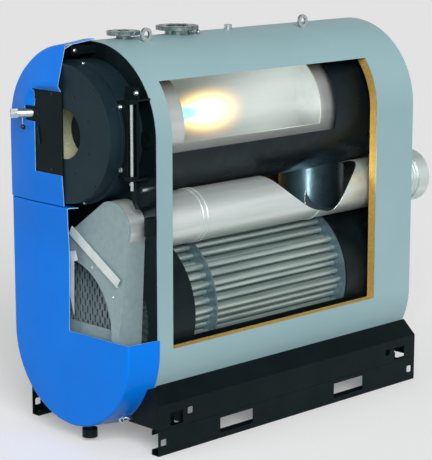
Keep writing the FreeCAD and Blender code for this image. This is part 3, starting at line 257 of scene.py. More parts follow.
# %% [markdown]
# ## Wool and ceramic
# The casing is lined with mineral wool, whose cut edge shows ochre fibres a fraction of a
# millimetre thick, drawn here somewhat coarser so that they show at all. The burner door is lined
# with cast ceramic fibre, pale and quite matt, with a sandy grain.

# %% Soft linings
mineral_wool = coated("mineral_wool", "B08A3E", "D9B562", 0.005, (0.9, 1.0), 0.004, 0.0015, (1, 0.5, 1),
                      Specular_IOR_Level=0.2)
ceramic_fibre = coated("ceramic_fibre", "B3B594", "D0D2B6", 0.012, (0.85, 0.97), 0.003, 0.0004,
                       Specular_IOR_Level=0.25)
print("linings made")

# %% [markdown]
# ## The furnace and its fire
# The furnace is a satin stainless tube. The burner's flame is shown as light on its inner wall: a
# white core with yellow and orange round it and a blue-green root. Smoke or a glowing mesh could
# stand in it, but a flame isn't a part, so only its light is kept, as emission that depends on where
# the wall is.

# %% Furnace finish
furnace_low, furnace_high = (Vector(corner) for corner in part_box("furnace_tube"))
axis_z = (furnace_low.z + furnace_high.z) / 2
# Each patch of light is an ellipse on the wall, with a centre and half axes along y and z.
GLOW_CENTRE = (0.0, furnace_low.y + 1.019, axis_z - 0.035)
GLOW_HALF = (0.25, 0.115)
ROOT_CENTRE = (0.0, furnace_low.y + 0.872, axis_z - 0.035)
ROOT_HALF = (0.15, 0.048)
# The broad white glow round the flame is painted light of the fire on the wall.
LIT_CENTRE = (0.0, furnace_low.y + 1.45, axis_z + 0.03)
LIT_HALF = (0.75, 0.3)
FIRE_STRENGTH, HAZE_STRENGTH = 1.7, 0.42
SOOT = (furnace_low.y + 0.25, furnace_low.y + 0.5)     # painted shade: black up to the first y, unshaded from the second
WALL_INSIDE = furnace_high.x - 1.5 * MM


def distance_from(tree, centre, half):
    """How far a point is from a centre in y and z, where 1 is on the ellipse with those half axes."""
    place = add(tree, "ShaderNodeTexCoord").outputs["Object"]
    shift = add(tree, "ShaderNodeVectorMath", {0: place, 1: centre}, operation="SUBTRACT").outputs["Vector"]
    shrink = (0, 1 / half[0], 1 / half[1])
    scaled = add(tree, "ShaderNodeVectorMath", {0: shift, 1: shrink}, operation="MULTIPLY")
    return add(tree, "ShaderNodeVectorMath", {0: scaled.outputs["Vector"]},
               operation="LENGTH").outputs["Value"]


def fading(tree, value, full, none):
    """1 where value is at full, smoothly down to 0 at none."""
    spread = {"Value": value, "From Min": full, "From Max": none, "To Min": 1, "To Max": 0}
    return add(tree, "ShaderNodeMapRange", spread, interpolation_type="SMOOTHSTEP").outputs["Result"]


furnace_steel = coated("furnace_steel", "C2C8C6", "D8DEDC", 0.1, (0.36, 0.46), 0.008, 0.00003, ALONG_Y,
                       Metallic=0.6)
tree = furnace_steel.node_tree
shader = tree.nodes["Principled BSDF"]
reach = distance_from(tree, GLOW_CENTRE, GLOW_HALF)
root = distance_from(tree, ROOT_CENTRE, ROOT_HALF)
warm = {0: fading(tree, reach, 0.6, 1.1), 6: linear("E8A030"), 7: linear("FFF07A")}
warm = add(tree, "ShaderNodeMix", warm, data_type="RGBA").outputs[2]
core = add(tree, "ShaderNodeMix", {0: fading(tree, reach, 0.25, 0.65), 6: warm, 7: (1, 1, 1, 1)},
           data_type="RGBA").outputs[2]
flame = add(tree, "ShaderNodeMix", {0: fading(tree, root, 0.4, 1.15), 6: core, 7: linear("5FE8E0")},
            data_type="RGBA").outputs[2]
inside = add(tree, "ShaderNodeMath", {0: radius_from(tree, (0, 0, axis_z)), 1: WALL_INSIDE},
             operation="LESS_THAN").outputs["Value"]
fire = add(tree, "ShaderNodeVectorMath", {0: flame, "Scale": fading(tree, reach, 0.2, 1.35)},
           operation="SCALE")
# Painted light: a weaker white glow over a wide ellipse, for the fire lighting the wall.
lit = distance_from(tree, LIT_CENTRE, LIT_HALF)
haze = add(tree, "ShaderNodeVectorMath", {0: (0.94, 1.0, 0.97), "Scale": fading(tree, lit, 0.1, 1.0)},
           operation="SCALE")
haze = add(tree, "ShaderNodeVectorMath", {0: haze.outputs[0], "Scale": HAZE_STRENGTH}, operation="SCALE")
strength = (FIRE_STRENGTH, FIRE_STRENGTH, FIRE_STRENGTH)
light = add(tree, "ShaderNodeVectorMath", {0: fire.outputs[0], 1: strength, 2: haze.outputs[0]},
            operation="MULTIPLY_ADD").outputs[0]
tree.links.new(light, shader.inputs["Emission Color"])
tree.links.new(inside, shader.inputs["Emission Strength"])
# Near its mouth the wall is painted black: painted shade in the furnace's mouth.
place = add(tree, "ShaderNodeTexCoord").outputs["Object"]
depth = add(tree, "ShaderNodeSeparateXYZ", {0: place}).outputs["Y"]
soot = add(tree, "ShaderNodeMath", {0: fading(tree, depth, SOOT[0], SOOT[1]), 1: inside},
           operation="MULTIPLY")
steel = shader.inputs["Base Color"].links[0].from_socket
sooted = add(tree, "ShaderNodeMix", {0: soot.outputs[0], 6: steel, 7: linear("1A2226")}, data_type="RGBA")
tree.links.new(sooted.outputs[2], shader.inputs["Base Color"])
print("fire centred at y", round(GLOW_CENTRE[1], 3), "z", round(GLOW_CENTRE[2], 3))

# %% [markdown]
# ## Dressing the CAD pieces
# Most pieces already have the right shape, so they stay and only get a finish. Each one has a
# material slot in the record, and the table below turns that slot into a finish; a few pieces get
# one of their own.

# %% Finishes by slot
BY_SLOT = {"casing_grey": casing_coat, "hood_blue": hood_coat, "vessel_black": vessel_enamel,
           "frame_black": frame_coat, "stainless": pipe_steel, "tube_steel": tube_pickled,
           "plate_steel": mill_plate, "collector_grey": folded_sheet, "wool": mineral_wool,
           "ceramic": ceramic_fibre, "flange_steel": forged_steel, "zinc": zinc_plate}
# The collector strip gets the paler copy of its sheet: painted light on its lit face.
BY_NAME = {"furnace_tube": furnace_steel, "furnace_rear_wall": furnace_steel, "door_drum": door_enamel,
           "door_seat": door_enamel, "door_stay": frame_coat, "collector_strip": bright_sheet}
slot_of = {part["node"]: part["material_slot"] for part in frame["record"]["subparts"]}
for name, node in nodes.items():
    for holder in node.material_slots:
        holder.material = BY_NAME.get(name, BY_SLOT[slot_of[name]])
print("dressed", len(nodes), "pieces")

# %% [markdown]
# ## Helpers for new pieces
# A new piece's object stays at the origin with its place in its mesh, as the CAD pieces do. Its
# edges are marked sharp where two faces meet at a clear angle, so that flat sheet stays crisp and
# round sheet stays smooth.

# %% Helpers for meshes
SHARP = math.radians(28)


def crisp(mesh):
    """Smooth shading, with sharp edges where the faces turn by more than SHARP."""
    work = bmesh.new()
    work.from_mesh(mesh)
    for face in work.faces:
        face.smooth = True
    for edge in work.edges:
        edge.smooth = len(edge.link_faces) == 2 and edge.calc_face_angle(math.pi) < SHARP
    work.to_mesh(mesh)
    work.free()


def baked(carrier):
    """The object's mesh after its modifiers, as plain mesh, with its modifiers gone."""
    depsgraph = bpy.context.evaluated_depsgraph_get()
    mesh = bpy.data.meshes.new_from_object(carrier.evaluated_get(depsgraph), depsgraph=depsgraph)
    carrier.modifiers.clear()
    carrier.data = mesh
    crisp(mesh)
    return carrier


def stand(name, mesh, *finishes):
    """A new object at the origin with that mesh and those finishes."""
    made = bpy.data.objects.new(name, mesh)
    for finish in finishes:
        mesh.materials.append(finish)
    bpy.context.scene.collection.objects.link(made)
    return made


def place_on(piece, body, slot, *replaced):
    if replaced:
        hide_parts(*replaced)
    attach(piece, body)
    print(piece.name, "faces:", len(piece.data.polygons))


print("mesh helpers ready")

# %% [markdown]
# ## The upper hood
# The hood is a moulded shell, cut through the middle to show the burner door. Its front bulges a
# little and carries a visor over the burner plate: the face comes forward to a lip and then falls
# back into a recess. Such a shape could be sculpted by hand, but its depth follows simple rules, so
# a grid of points is laid over the outline and each point's depth is worked out, which keeps the
# notches for the burner plate exact. Solidify then gives the shell its thickness and its pale rim, a painted
# highlight on the cut edges.

# %% Depth of the hood's face
hood_low, hood_high = (Vector(corner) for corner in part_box("upper_hood"))
lower_low, lower_high = (Vector(corner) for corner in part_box("lower_hood"))
plate_low, plate_high = (Vector(corner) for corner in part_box("burner_plate"))
SKIRT = -hood_low.x
UPPER_CENTRE = hood_high.z - SKIRT
LOWER_CENTRE = lower_low.z + SKIRT
BULGE = 28 * MM          # how far the middle of the face stands out
ROUND = 28 * MM          # how far the face rounds off into the skirt
FLAT = 210 * MM          # the face is level up to this far from the middle
FACE = SKIRT - ROUND
HOOD_FRONT = hood_low.y + BULGE
SHELL = 4 * MM
LIP = (270 * MM, 245 * MM)
VISOR = 19 * MM          # how far the visor's lip stands out beyond the face
# The skirt's section: steps outwards and back from the edge of the face.
SIDE = ((6 * MM, 3 * MM), (10 * MM, 9 * MM), (18 * MM, 95 * MM), (ROUND, hood_high.y - HOOD_FRONT))


def eased(value, low, high):
    """0 below low, 1 above high, and a smooth step between them."""
    share = min(max((value - low) / (high - low), 0), 1)
    return share * share * (3 - 2 * share)


def dome(distance, bulge):
    """How far the face stands out at a distance from the hood's middle."""
    share = min(max((distance - FLAT) / (FACE - FLAT), 0), 1)
    return -bulge * (1 - share ** 1.5)


def visor(x, z):
    """How far the visor stands out beyond the dome: 0 in the recess, most at the lip, fading outwards."""
    turn = ((abs(x) / LIP[0]) ** 4 + (max(z - UPPER_CENTRE, 0) / LIP[1]) ** 4) ** 0.25
    if turn < 1:
        height = eased(turn, 0.86, 0.99)
    else:
        height = (1 - min((turn - 1) / 0.7, 1)) ** 1.4
    return -VISOR * height * eased(z, UPPER_CENTRE + 70 * MM, UPPER_CENTRE + 170 * MM)


def upper_depth(x, z):
    """The y of the upper hood's face, whose bulge is a little less towards its lower edge."""
    distance = math.hypot(x, max(z - UPPER_CENTRE, 0))
    low_end = 8 * MM * (1 - eased(z, hood_low.z, hood_low.z + 150 * MM))
    return HOOD_FRONT + dome(distance, BULGE - low_end) + visor(x, z)


print("hood face half width:", round(FACE, 3), "front at y", round(HOOD_FRONT, 4))


# %% Shell from rows
def shell_mesh(name, rows, skipped):
    """A mesh of rows of points; faces whose middle lies in a skipped (x, z) box are left out."""
    work = bmesh.new()
    grid = [[work.verts.new(point) for point in row] for row in rows]
    for low, high in zip(grid, grid[1:]):
        for a, b, c, d in zip(low, low[1:], high[1:], high):
            middle = (a.co + b.co + c.co + d.co) / 4
            if any(x0 < middle.x < x1 and z0 < middle.z < z1 and middle.y < y1
                   for (x0, x1), (z0, z1), y1 in skipped):
                continue
            work.faces.new((a, b, c, d))
    bmesh.ops.remove_doubles(work, verts=work.verts, dist=0.2 * MM)
    bmesh.ops.delete(work, geom=[v for v in work.verts if not v.link_faces], context="VERTS")
    mesh = bpy.data.meshes.new(name)
    work.to_mesh(mesh)
    work.free()
    return mesh


def shelled(name, mesh):
    """The mesh as a shell that grows inwards, with the pale rim, a painted highlight, on its cut edges."""
    made = stand(name, mesh, hood_coat, hood_rim)
    wall = made.modifiers.new("wall", "SOLIDIFY")
    wall.thickness = SHELL
    wall.offset = -1
    wall.use_even_offset = True
    wall.material_offset_rim = 1
    return baked(made)


def spaced(stops, step):
    """Values through all the stops, no further apart than step."""
    values = [stops[0]]
    for low, high in zip(stops, stops[1:]):
        count = max(1, math.ceil((high - low) / step))
        values += [low + (high - low) * k / count for k in range(1, count + 1)]
    return values


print("shell helpers ready")

# %% Upper hood
GAP = 1 * MM
LUG_HALF = 38 * MM
sight_z = UPPER_CENTRE + 91 * MM
plate_edge = -201 * MM           # left side of the burner plate's notch
lug_edge = plate_low.x - GAP     # left side of the sight tube's notch
notch_rows = [hood_low.z, plate_low.z - GAP, sight_z - LUG_HALF, sight_z + LUG_HALF, plate_high.z + GAP]
arc_rows = [UPPER_CENTRE + FACE * math.sin(math.radians(angle)) for angle in range(32, 90, 2)]
levels = spaced(notch_rows, 9 * MM) + [z for z in arc_rows if z > plate_high.z + 4 * MM]
levels.append(UPPER_CENTRE + FACE)


def upper_row(z):
    """One row of the upper hood, from the cut in the middle out to the skirt."""
    half = math.sqrt(max(FACE ** 2 - max(z - UPPER_CENTRE, 0) ** 2, 0))
    inner = min(-plate_edge, 0.48 * half)
    outer = min(-lug_edge, 0.65 * half)
    across = [k / 18 * inner for k in range(18)] + [inner + k / 6 * (outer - inner) for k in range(6)]
    across += [outer + k / 14 * (half - outer) for k in range(15)]
    row = [Vector((-x, upper_depth(-x, z), z)) for x in across]
    if half > 1e-6:
        out = Vector((-half, 0, max(z - UPPER_CENTRE, 0))).normalized()
    else:
        out = Vector((0, 0, 1))
    foot = Vector((-half, HOOD_FRONT, z))
    return row + [foot + out * step + Vector((0, back, 0)) for step, back in SIDE]


front_zone = HOOD_FRONT + 3 * MM
windows = [((plate_edge, 1), (plate_low.z - GAP, plate_high.z + GAP), front_zone),
           ((lug_edge, plate_edge), (sight_z - LUG_HALF, sight_z + LUG_HALF), front_zone)]
upper_mesh = shell_mesh("hood_upper_shell", [upper_row(z) for z in levels], windows)
upper_hood = shelled("hood_upper_shell", upper_mesh)
place_on(upper_hood, "burner_door", "hood_blue", "upper_hood")

# %% [markdown]
# ## The lower hood
# The lower half is the same moulding without the visor. Its right side is cut away down to a low
# sill so that the flue collector shows, and its top edge turns back as a flange that stiffens it and
# meets the upper half at the seam.

# %% Lower hood
seam_z = lower_high.z
sill_z = 562 * MM
DOME = HOOD_FRONT - lower_low.y
CUT_FOOT = 6 * MM
CUT_TOP = 20 * MM


def lower_depth(x, z):
    """The y of the lower hood's face, which stands out a little more towards the seam."""
    distance = math.hypot(x, max(LOWER_CENTRE - z, 0))
    near_top = 12 * MM * eased(z, seam_z - 260 * MM, seam_z)
    return HOOD_FRONT + dome(distance, DOME + near_top)


def cut_edge(z):
    """Where the cut runs down the middle of the lower hood."""
    return CUT_FOOT + (CUT_TOP - CUT_FOOT) * max(z - sill_z, 0) / (seam_z - sill_z)


def lower_row(z, right):
    """One row of the lower hood, from the left skirt to the cut, or on to the right skirt."""
    half = math.sqrt(max(FACE ** 2 - max(LOWER_CENTRE - z, 0) ** 2, 0))
    out = Vector((-half, 0, min(z - LOWER_CENTRE, 0))).normalized() if half > 1e-6 else Vector((0, 0, -1))
    foot = Vector((-half, HOOD_FRONT, z))
    skirt = [foot + out * step + Vector((0, back, 0)) for step, back in reversed(SIDE)]
    edge = min(cut_edge(z), half)
    left = [-half + k / 26 * (half + edge) for k in range(27)]
    row = skirt + [Vector((x, lower_depth(x, z), z)) for x in left]
    if right:
        across = [edge + k / 24 * (half - edge) for k in range(1, 25)]
        row += [Vector((x, lower_depth(x, z), z)) for x in across]
        mirrored = Vector((-1, 1, 1))
        row += [point * mirrored for point in reversed(skirt)]
    return row


low_rows = [LOWER_CENTRE - FACE * math.cos(math.radians(angle)) for angle in range(0, 90, 3)]
low_rows += spaced([LOWER_CENTRE, sill_z], 10 * MM)
high_rows = spaced([sill_z, seam_z - 6 * MM], 12 * MM)
work_low = shell_mesh("hood_sill", [lower_row(z, True) for z in low_rows], [])
cheek = [lower_row(z, False) for z in high_rows]
base_row = cheek[-1]
# The top edge turns back as a flange: how far each row lies below the seam, and how far back.
for drop, back in ((2 * MM, 2 * MM), (0, 8 * MM), (0, 30 * MM), (0, 50 * MM)):
    turned = [Vector((point.x, point.y, seam_z - drop)) for point in base_row]
    for point in turned[len(SIDE):]:
        point.x += max(point.x, 0) / CUT_TOP * back * 0.5
        point.y = min(point.y + back, hood_high.y)
    cheek.append(turned)
work_high = shell_mesh("hood_cheek", cheek, [])
joined = bmesh.new()
joined.from_mesh(work_low)
joined.from_mesh(work_high)
bmesh.ops.remove_doubles(joined, verts=joined.verts, dist=0.3 * MM)
lower_mesh = bpy.data.meshes.new("hood_lower_shell")
joined.to_mesh(lower_mesh)
joined.free()
lower_hood = shelled("hood_lower_shell", lower_mesh)
place_on(lower_hood, "boiler", "hood_blue", "lower_hood")

# %% [markdown]
# ## Shapes that repeat
# Fire tubes, slots and screws each repeat one small shape by a rule. They could be copied by a
# loop, but a Geometry Nodes tree keeps the rule in one place with its sizes as named inputs. The
# result is made into plain mesh at the end, so that it travels with the machine.

# %% Helpers for Geometry Nodes
def tree_with(name, sizes):
    """A Geometry Nodes tree with geometry in and out and a named input for each size."""
    tree = bpy.data.node_groups.new(name, "GeometryNodeTree")
    tree.interface.new_socket("Geometry", in_out="OUTPUT", socket_type="NodeSocketGeometry")
    tree.interface.new_socket("Geometry", in_out="INPUT", socket_type="NodeSocketGeometry")
    for size, kind in sizes.items():
        tree.interface.new_socket(size, in_out="INPUT", socket_type="NodeSocket" + kind)
    return tree, tree.nodes.new("NodeGroupInput").outputs


def finished(tree, geometry, finish):
    """Ends a tree: real mesh, its finish, and the output."""
    real = add(tree, "GeometryNodeRealizeInstances", {0: geometry}).outputs[0]
    dressed = add(tree, "GeometryNodeSetMaterial", {"Geometry": real, "Material": finish}).outputs[0]
    add(tree, "NodeGroupOutput", {0: dressed})


def grown(name, tree, sizes, seed=None):
    """A piece grown by the tree from the seed mesh; each size is set on its input by identifier."""
    carrier = stand(name, seed or bpy.data.meshes.new(name))
    modifier = carrier.modifiers.new(name, "NODES")
    modifier.node_group = tree
    for item in tree.interface.items_tree:
        if item.item_type == "SOCKET" and item.in_out == "INPUT" and item.name in sizes:
            modifier[item.identifier] = sizes[item.name]
    return baked(carrier)


def seeds(points):
    """A mesh of loose points."""
    mesh = bpy.data.meshes.new("seeds")
    mesh.from_pydata([tuple(point) for point in points], [], [])
    return mesh


print("Geometry Nodes helpers ready")

# %% [markdown]
# ## Fire tubes
# The lower vessel holds a field of steel tubes in staggered rows, between two tube plates. Each is a
# ring swept round a small upright rectangle, the tube's wall by its length, which gives both skins
# and both ends at once. The rows come from a flat grid whose odd rows are moved by half a pitch, and
# the points outside the field are dropped.

# %% Fire tubes
bundle_low, bundle_high = (Vector(corner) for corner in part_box("tube_bundle"))
plate_box = [Vector(corner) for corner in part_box("rear_tube_plate")]
PITCH, RISE, FIELD = 47 * MM, 41 * MM, 338 * MM
COUNT = 19                                # points along each side of the grid
TUBE_RADIUS, TUBE_WALL = 17 * MM, 3 * MM
TUBE_SIDES = 16
tube_tree, given = tree_with("fire_tubes", {
    "Radius": "Float", "Wall": "Float", "Length": "Float", "Pitch": "Float", "Rise": "Float",
    "Field": "Float", "Centre": "Vector", "Finish": "Material"})
wide = add(tube_tree, "ShaderNodeMath", {0: given["Pitch"], 1: COUNT - 1.0}, operation="MULTIPLY").outputs[0]
tall = add(tube_tree, "ShaderNodeMath", {0: given["Rise"], 1: COUNT - 1.0}, operation="MULTIPLY").outputs[0]
grid = add(tube_tree, "GeometryNodeMeshGrid", {"Size X": wide, "Size Y": tall, "Vertices X": COUNT,
                                               "Vertices Y": COUNT}).outputs["Mesh"]
spot = add(tube_tree, "GeometryNodeInputPosition").outputs[0]
spot = add(tube_tree, "ShaderNodeSeparateXYZ", {0: spot}).outputs
row = add(tube_tree, "ShaderNodeMath", {0: spot["Y"], 1: given["Rise"]}, operation="DIVIDE").outputs[0]
row = add(tube_tree, "ShaderNodeMath", {0: row}, operation="ROUND").outputs[0]
odd = add(tube_tree, "ShaderNodeMath", {0: row, 1: 2.0}, operation="FLOORED_MODULO").outputs[0]
half_pitch = add(tube_tree, "ShaderNodeMath", {0: given["Pitch"], 1: 0.5}, operation="MULTIPLY").outputs[0]
across = add(tube_tree, "ShaderNodeMath", {0: odd, 1: half_pitch, 2: spot["X"]},
             operation="MULTIPLY_ADD").outputs[0]
upright = add(tube_tree, "ShaderNodeCombineXYZ", {"X": across, "Z": spot["Y"]}).outputs[0]
rows = add(tube_tree, "GeometryNodeSetPosition", {"Geometry": grid, "Position": upright}).outputs[0]
out = add(tube_tree, "ShaderNodeVectorMath", {0: add(tube_tree, "GeometryNodeInputPosition").outputs[0]},
          operation="LENGTH").outputs["Value"]
beyond = add(tube_tree, "FunctionNodeCompare", {0: out, 1: given["Field"]}, data_type="FLOAT",
             operation="GREATER_THAN").outputs[0]
field = add(tube_tree, "GeometryNodeDeleteGeometry", {"Geometry": rows, "Selection": beyond}).outputs[0]
half_wall = add(tube_tree, "ShaderNodeMath", {0: given["Wall"], 1: -0.5, 2: given["Radius"]},
                operation="MULTIPLY_ADD").outputs[0]
ring = add(tube_tree, "GeometryNodeCurvePrimitiveCircle", {"Resolution": TUBE_SIDES,
                                                           "Radius": half_wall}).outputs["Curve"]
section = add(tube_tree, "GeometryNodeCurvePrimitiveQuadrilateral", {"Width": given["Wall"],
                                                                     "Height": given["Length"]}).outputs[0]
tube = add(tube_tree, "GeometryNodeCurveToMesh", {"Curve": ring, "Profile Curve": section}).outputs[0]
tube = add(tube_tree, "GeometryNodeTransform", {"Geometry": tube,
                                                "Rotation": (math.pi / 2, 0, 0)}).outputs[0]
tubes = add(tube_tree, "GeometryNodeInstanceOnPoints", {"Points": field, "Instance": tube}).outputs[0]
moved = add(tube_tree, "GeometryNodeTransform", {"Geometry": tubes,
                                                 "Translation": given["Centre"]}).outputs[0]
finished(tube_tree, moved, given["Finish"])
tube_centre = Vector((0, (bundle_low.y + bundle_high.y) / 2, (plate_box[0].z + plate_box[1].z) / 2))
fire_tubes = grown("fire_tubes", tube_tree, {
    "Radius": TUBE_RADIUS, "Wall": TUBE_WALL, "Length": bundle_high.y - bundle_low.y, "Pitch": PITCH,
    "Rise": RISE, "Field": FIELD, "Centre": tube_centre, "Finish": tube_pickled})
print("tubes:", len(fire_tubes.data.polygons) // (4 * TUBE_SIDES))
place_on(fire_tubes, "boiler", "tube_steel", "tube_bundle")

# %% [markdown]
# ## Perforated plate
# Behind the collector's front stands a plate with rows of upright slots, each row shifted by half a
# pitch. The slots are cut for real by a Boolean, since light and dark show through them. A slot is
# the hull of two small cylinders. Rays from each place find the plate's edge, and a slot too near
# to it is left out.

# %% Perforated plate
SLOT = (11 * MM, 38 * MM)
SLOT_PITCH = (18.5 * MM, 68 * MM)
COLUMNS, LINES = 37, 9                     # more places than the plate has, all round
SIDE_MARGIN, END_MARGIN = 10 * MM, 23 * MM
CUTTER = 20 * MM                           # depth of the cutting shape, well through the sheet
slot_tree, given = tree_with("upright_slots", {
    "Width": "Float", "Length": "Float", "Pitch": "Float", "Rise": "Float", "Centre": "Vector",
    "Finish": "Material"})
wide = add(slot_tree, "ShaderNodeMath", {0: given["Pitch"], 1: COLUMNS - 1.0},
           operation="MULTIPLY").outputs[0]
tall = add(slot_tree, "ShaderNodeMath", {0: given["Rise"], 1: LINES - 1.0}, operation="MULTIPLY").outputs[0]
grid = add(slot_tree, "GeometryNodeMeshGrid", {"Size X": wide, "Size Y": tall, "Vertices X": COLUMNS,
                                               "Vertices Y": LINES}).outputs["Mesh"]
spot = add(slot_tree, "GeometryNodeInputPosition").outputs[0]
spot = add(slot_tree, "ShaderNodeSeparateXYZ", {0: spot}).outputs
column = add(slot_tree, "ShaderNodeMath", {0: spot["X"], 1: given["Pitch"]}, operation="DIVIDE").outputs[0]
column = add(slot_tree, "ShaderNodeMath", {0: column}, operation="ROUND").outputs[0]
odd = add(slot_tree, "ShaderNodeMath", {0: column, 1: 2.0}, operation="FLOORED_MODULO").outputs[0]
half_rise = add(slot_tree, "ShaderNodeMath", {0: given["Rise"], 1: 0.5}, operation="MULTIPLY").outputs[0]
up = add(slot_tree, "ShaderNodeMath", {0: odd, 1: half_rise, 2: spot["Y"]},
         operation="MULTIPLY_ADD").outputs[0]
upright = add(slot_tree, "ShaderNodeCombineXYZ", {"X": spot["X"], "Z": up}).outputs[0]
rows = add(slot_tree, "GeometryNodeSetPosition", {"Geometry": grid, "Position": upright,
                                                  "Offset": given["Centre"]}).outputs[0]
near = []
for direction, margin in (((1, 0, 0), SIDE_MARGIN), ((-1, 0, 0), SIDE_MARGIN),
                          ((0, 0, 1), END_MARGIN), ((0, 0, -1), END_MARGIN)):
    ray = add(slot_tree, "GeometryNodeRaycast", {"Target Geometry": given["Geometry"],
                                                 "Ray Direction": direction, "Ray Length": margin})
    near.append(ray.outputs["Is Hit"])
sides = add(slot_tree, "FunctionNodeBooleanMath", {0: near[0], 1: near[1]}, operation="OR").outputs[0]
ends = add(slot_tree, "FunctionNodeBooleanMath", {0: near[2], 1: near[3]}, operation="OR").outputs[0]
edge = add(slot_tree, "FunctionNodeBooleanMath", {0: sides, 1: ends}, operation="OR").outputs[0]
places = add(slot_tree, "GeometryNodeDeleteGeometry", {"Geometry": rows, "Selection": edge}).outputs[0]
round_end = add(slot_tree, "ShaderNodeMath", {0: given["Width"], 1: 0.5}, operation="MULTIPLY").outputs[0]
straight = add(slot_tree, "ShaderNodeMath", {0: given["Length"], 1: given["Width"]},
               operation="SUBTRACT").outputs[0]
bar = add(slot_tree, "GeometryNodeMeshCylinder", {"Vertices": 12, "Radius": round_end,
                                                  "Depth": CUTTER}).outputs["Mesh"]
ends = []
for share in (0.5, -0.5):
    shift = add(slot_tree, "ShaderNodeMath", {0: straight, 1: share}, operation="MULTIPLY").outputs[0]
    way = add(slot_tree, "ShaderNodeCombineXYZ", {"Y": shift}).outputs[0]
    ends.append(add(slot_tree, "GeometryNodeTransform", {"Geometry": bar, "Translation": way}).outputs[0])
pair = add(slot_tree, "GeometryNodeJoinGeometry", {0: ends}).outputs[0]
hull = add(slot_tree, "GeometryNodeConvexHull", {0: pair}).outputs[0]
hull = add(slot_tree, "GeometryNodeTransform", {"Geometry": hull,
                                                "Rotation": (math.pi / 2, 0, 0)}).outputs[0]
slots = add(slot_tree, "GeometryNodeInstanceOnPoints", {"Points": places, "Instance": hull}).outputs[0]
slots = add(slot_tree, "GeometryNodeRealizeInstances", {0: slots}).outputs[0]
pierced = add(slot_tree, "GeometryNodeMeshBoolean", {"Mesh 1": given["Geometry"], "Mesh 2": slots},
              operation="DIFFERENCE", solver="MANIFOLD").outputs["Mesh"]
finished(slot_tree, pierced, given["Finish"])


def merged_copy(name, flat=math.radians(1)):
    """The CAD piece's mesh as a new mesh, with doubled points merged and flat faces joined."""
    work = bmesh.new()
    work.from_mesh(nodes[name].data)
    bmesh.ops.remove_doubles(work, verts=work.verts, dist=0.02 * MM)
    if flat:
        bmesh.ops.dissolve_limit(work, angle_limit=flat, verts=work.verts, edges=work.edges)
    bmesh.ops.recalc_face_normals(work, faces=work.faces)
    mesh = bpy.data.meshes.new(name + "_copy")
    work.to_mesh(mesh)
    work.free()
    return mesh


grille_low, grille_high = (Vector(corner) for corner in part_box("perforated_plate"))
grille = grown("pierced_plate", slot_tree, {
    "Width": SLOT[0], "Length": SLOT[1], "Pitch": SLOT_PITCH[0], "Rise": SLOT_PITCH[1],
    "Centre": (grille_low + grille_high) / 2, "Finish": folded_sheet}, merged_copy("perforated_plate", 0))
place_on(grille, "boiler", "collector_grey", "perforated_plate")

# %% [markdown]
# ## Edges that catch the light
# Folded sheet and flame-cut plate never end in a perfect edge: a small round or fold runs along it
# and shows as a fine bright line. The CAD leaves those edges sharp, so copies of the pieces get a
# narrow chamfer by a Bevel modifier, and nothing else about them changes.

# %% Softened edges
# Width of each piece's chamfer, in millimetres.
CHAMFERS = {"flue_collector": 2.4, "collector_strip": 0.8, "condensate_tray": 0.8, "rail_right": 1.5,
            "rail_left": 1.5, "rail_cover_right": 1.5, "rail_cover_left": 1.5, "burner_plate": 1.5,
            "hinge_leaf": 1.2, "hinge_bracket_lower": 1.5, "hinge_bracket_upper": 0.9, "hinge_post": 1.5,
            "door_stay": 1.5, "return_flange": 1.5, "supply_flange": 1.5, "hood_bracket": 1.0,
            "door_drum": 1.2}
bodies_of = {name: body for body, holder in frame["bodies"].items() for name in nodes
             if nodes[name].parent == holder}
# The collector's round top in the CAD: its centre's x and z, and its radius.
ARC = (230 * MM, 1070 * MM, 126 * MM)
WIDER, HIGHER = 8 * MM, pipe_centre.z - ARC[1]


def widened(mesh):
    """Grows the collector's round top to the pipe's own radius and height, so that it closes the pipe."""
    for vertex in mesh.vertices:
        out = Vector((vertex.co.x - ARC[0], 0, vertex.co.z - ARC[1]))
        if out.z > -0.5 * MM and ARC[2] - 4 * MM < out.length < ARC[2] + MM:
            vertex.co += out.normalized() * WIDER + Vector((0, 0, HIGHER))


for name, width in CHAMFERS.items():
    copy = stand(name + "_eased", merged_copy(name), nodes[name].material_slots[0].material)
    if name == "flue_collector":
        widened(copy.data)
    bevel = copy.modifiers.new("edge", "BEVEL")
    bevel.width = width * MM
    bevel.segments = 1
    bevel.limit_method = "ANGLE"
    bevel.angle_limit = math.radians(40)
    place_on(baked(copy), bodies_of[name], slot_of[name], name)

# %% [markdown]
# ## Screws
# Hexagon screws hold the door, the collector and the hinge. One tree makes them all: a six-sided
# head with a chamfered top on a round washer, stood on every seed point and turned by its own
# random angle with a fixed seed. A full thread would be hidden, so there is none.

# %% Screw tree
screw_tree, given = tree_with("hex_screws", {"Across": "Float", "Height": "Float", "Washer": "Float",
                                             "Facing": "Rotation", "Finish": "Material"})
corner = add(screw_tree, "ShaderNodeMath", {0: given["Across"], 1: 1 / math.sqrt(3)},
             operation="MULTIPLY").outputs[0]
trimmed = add(screw_tree, "ShaderNodeMath", {0: corner, 1: 0.82}, operation="MULTIPLY").outputs[0]
cap = add(screw_tree, "ShaderNodeMath", {0: given["Height"], 1: 0.25}, operation="MULTIPLY").outputs[0]
base = add(screw_tree, "ShaderNodeMath", {0: given["Height"], 1: 0.75}, operation="MULTIPLY").outputs[0]
thin = add(screw_tree, "ShaderNodeMath", {0: given["Height"], 1: 0.2}, operation="MULTIPLY").outputs[0]
body = add(screw_tree, "GeometryNodeMeshCylinder", {"Vertices": 6, "Radius": corner,
                                                    "Depth": base}).outputs["Mesh"]
top = add(screw_tree, "GeometryNodeMeshCone", {"Vertices": 6, "Radius Bottom": corner, "Radius Top": trimmed,
                                               "Depth": cap}).outputs["Mesh"]
washer = add(screw_tree, "GeometryNodeMeshCylinder", {"Vertices": 20, "Radius": given["Washer"],
                                                      "Depth": thin}).outputs["Mesh"]
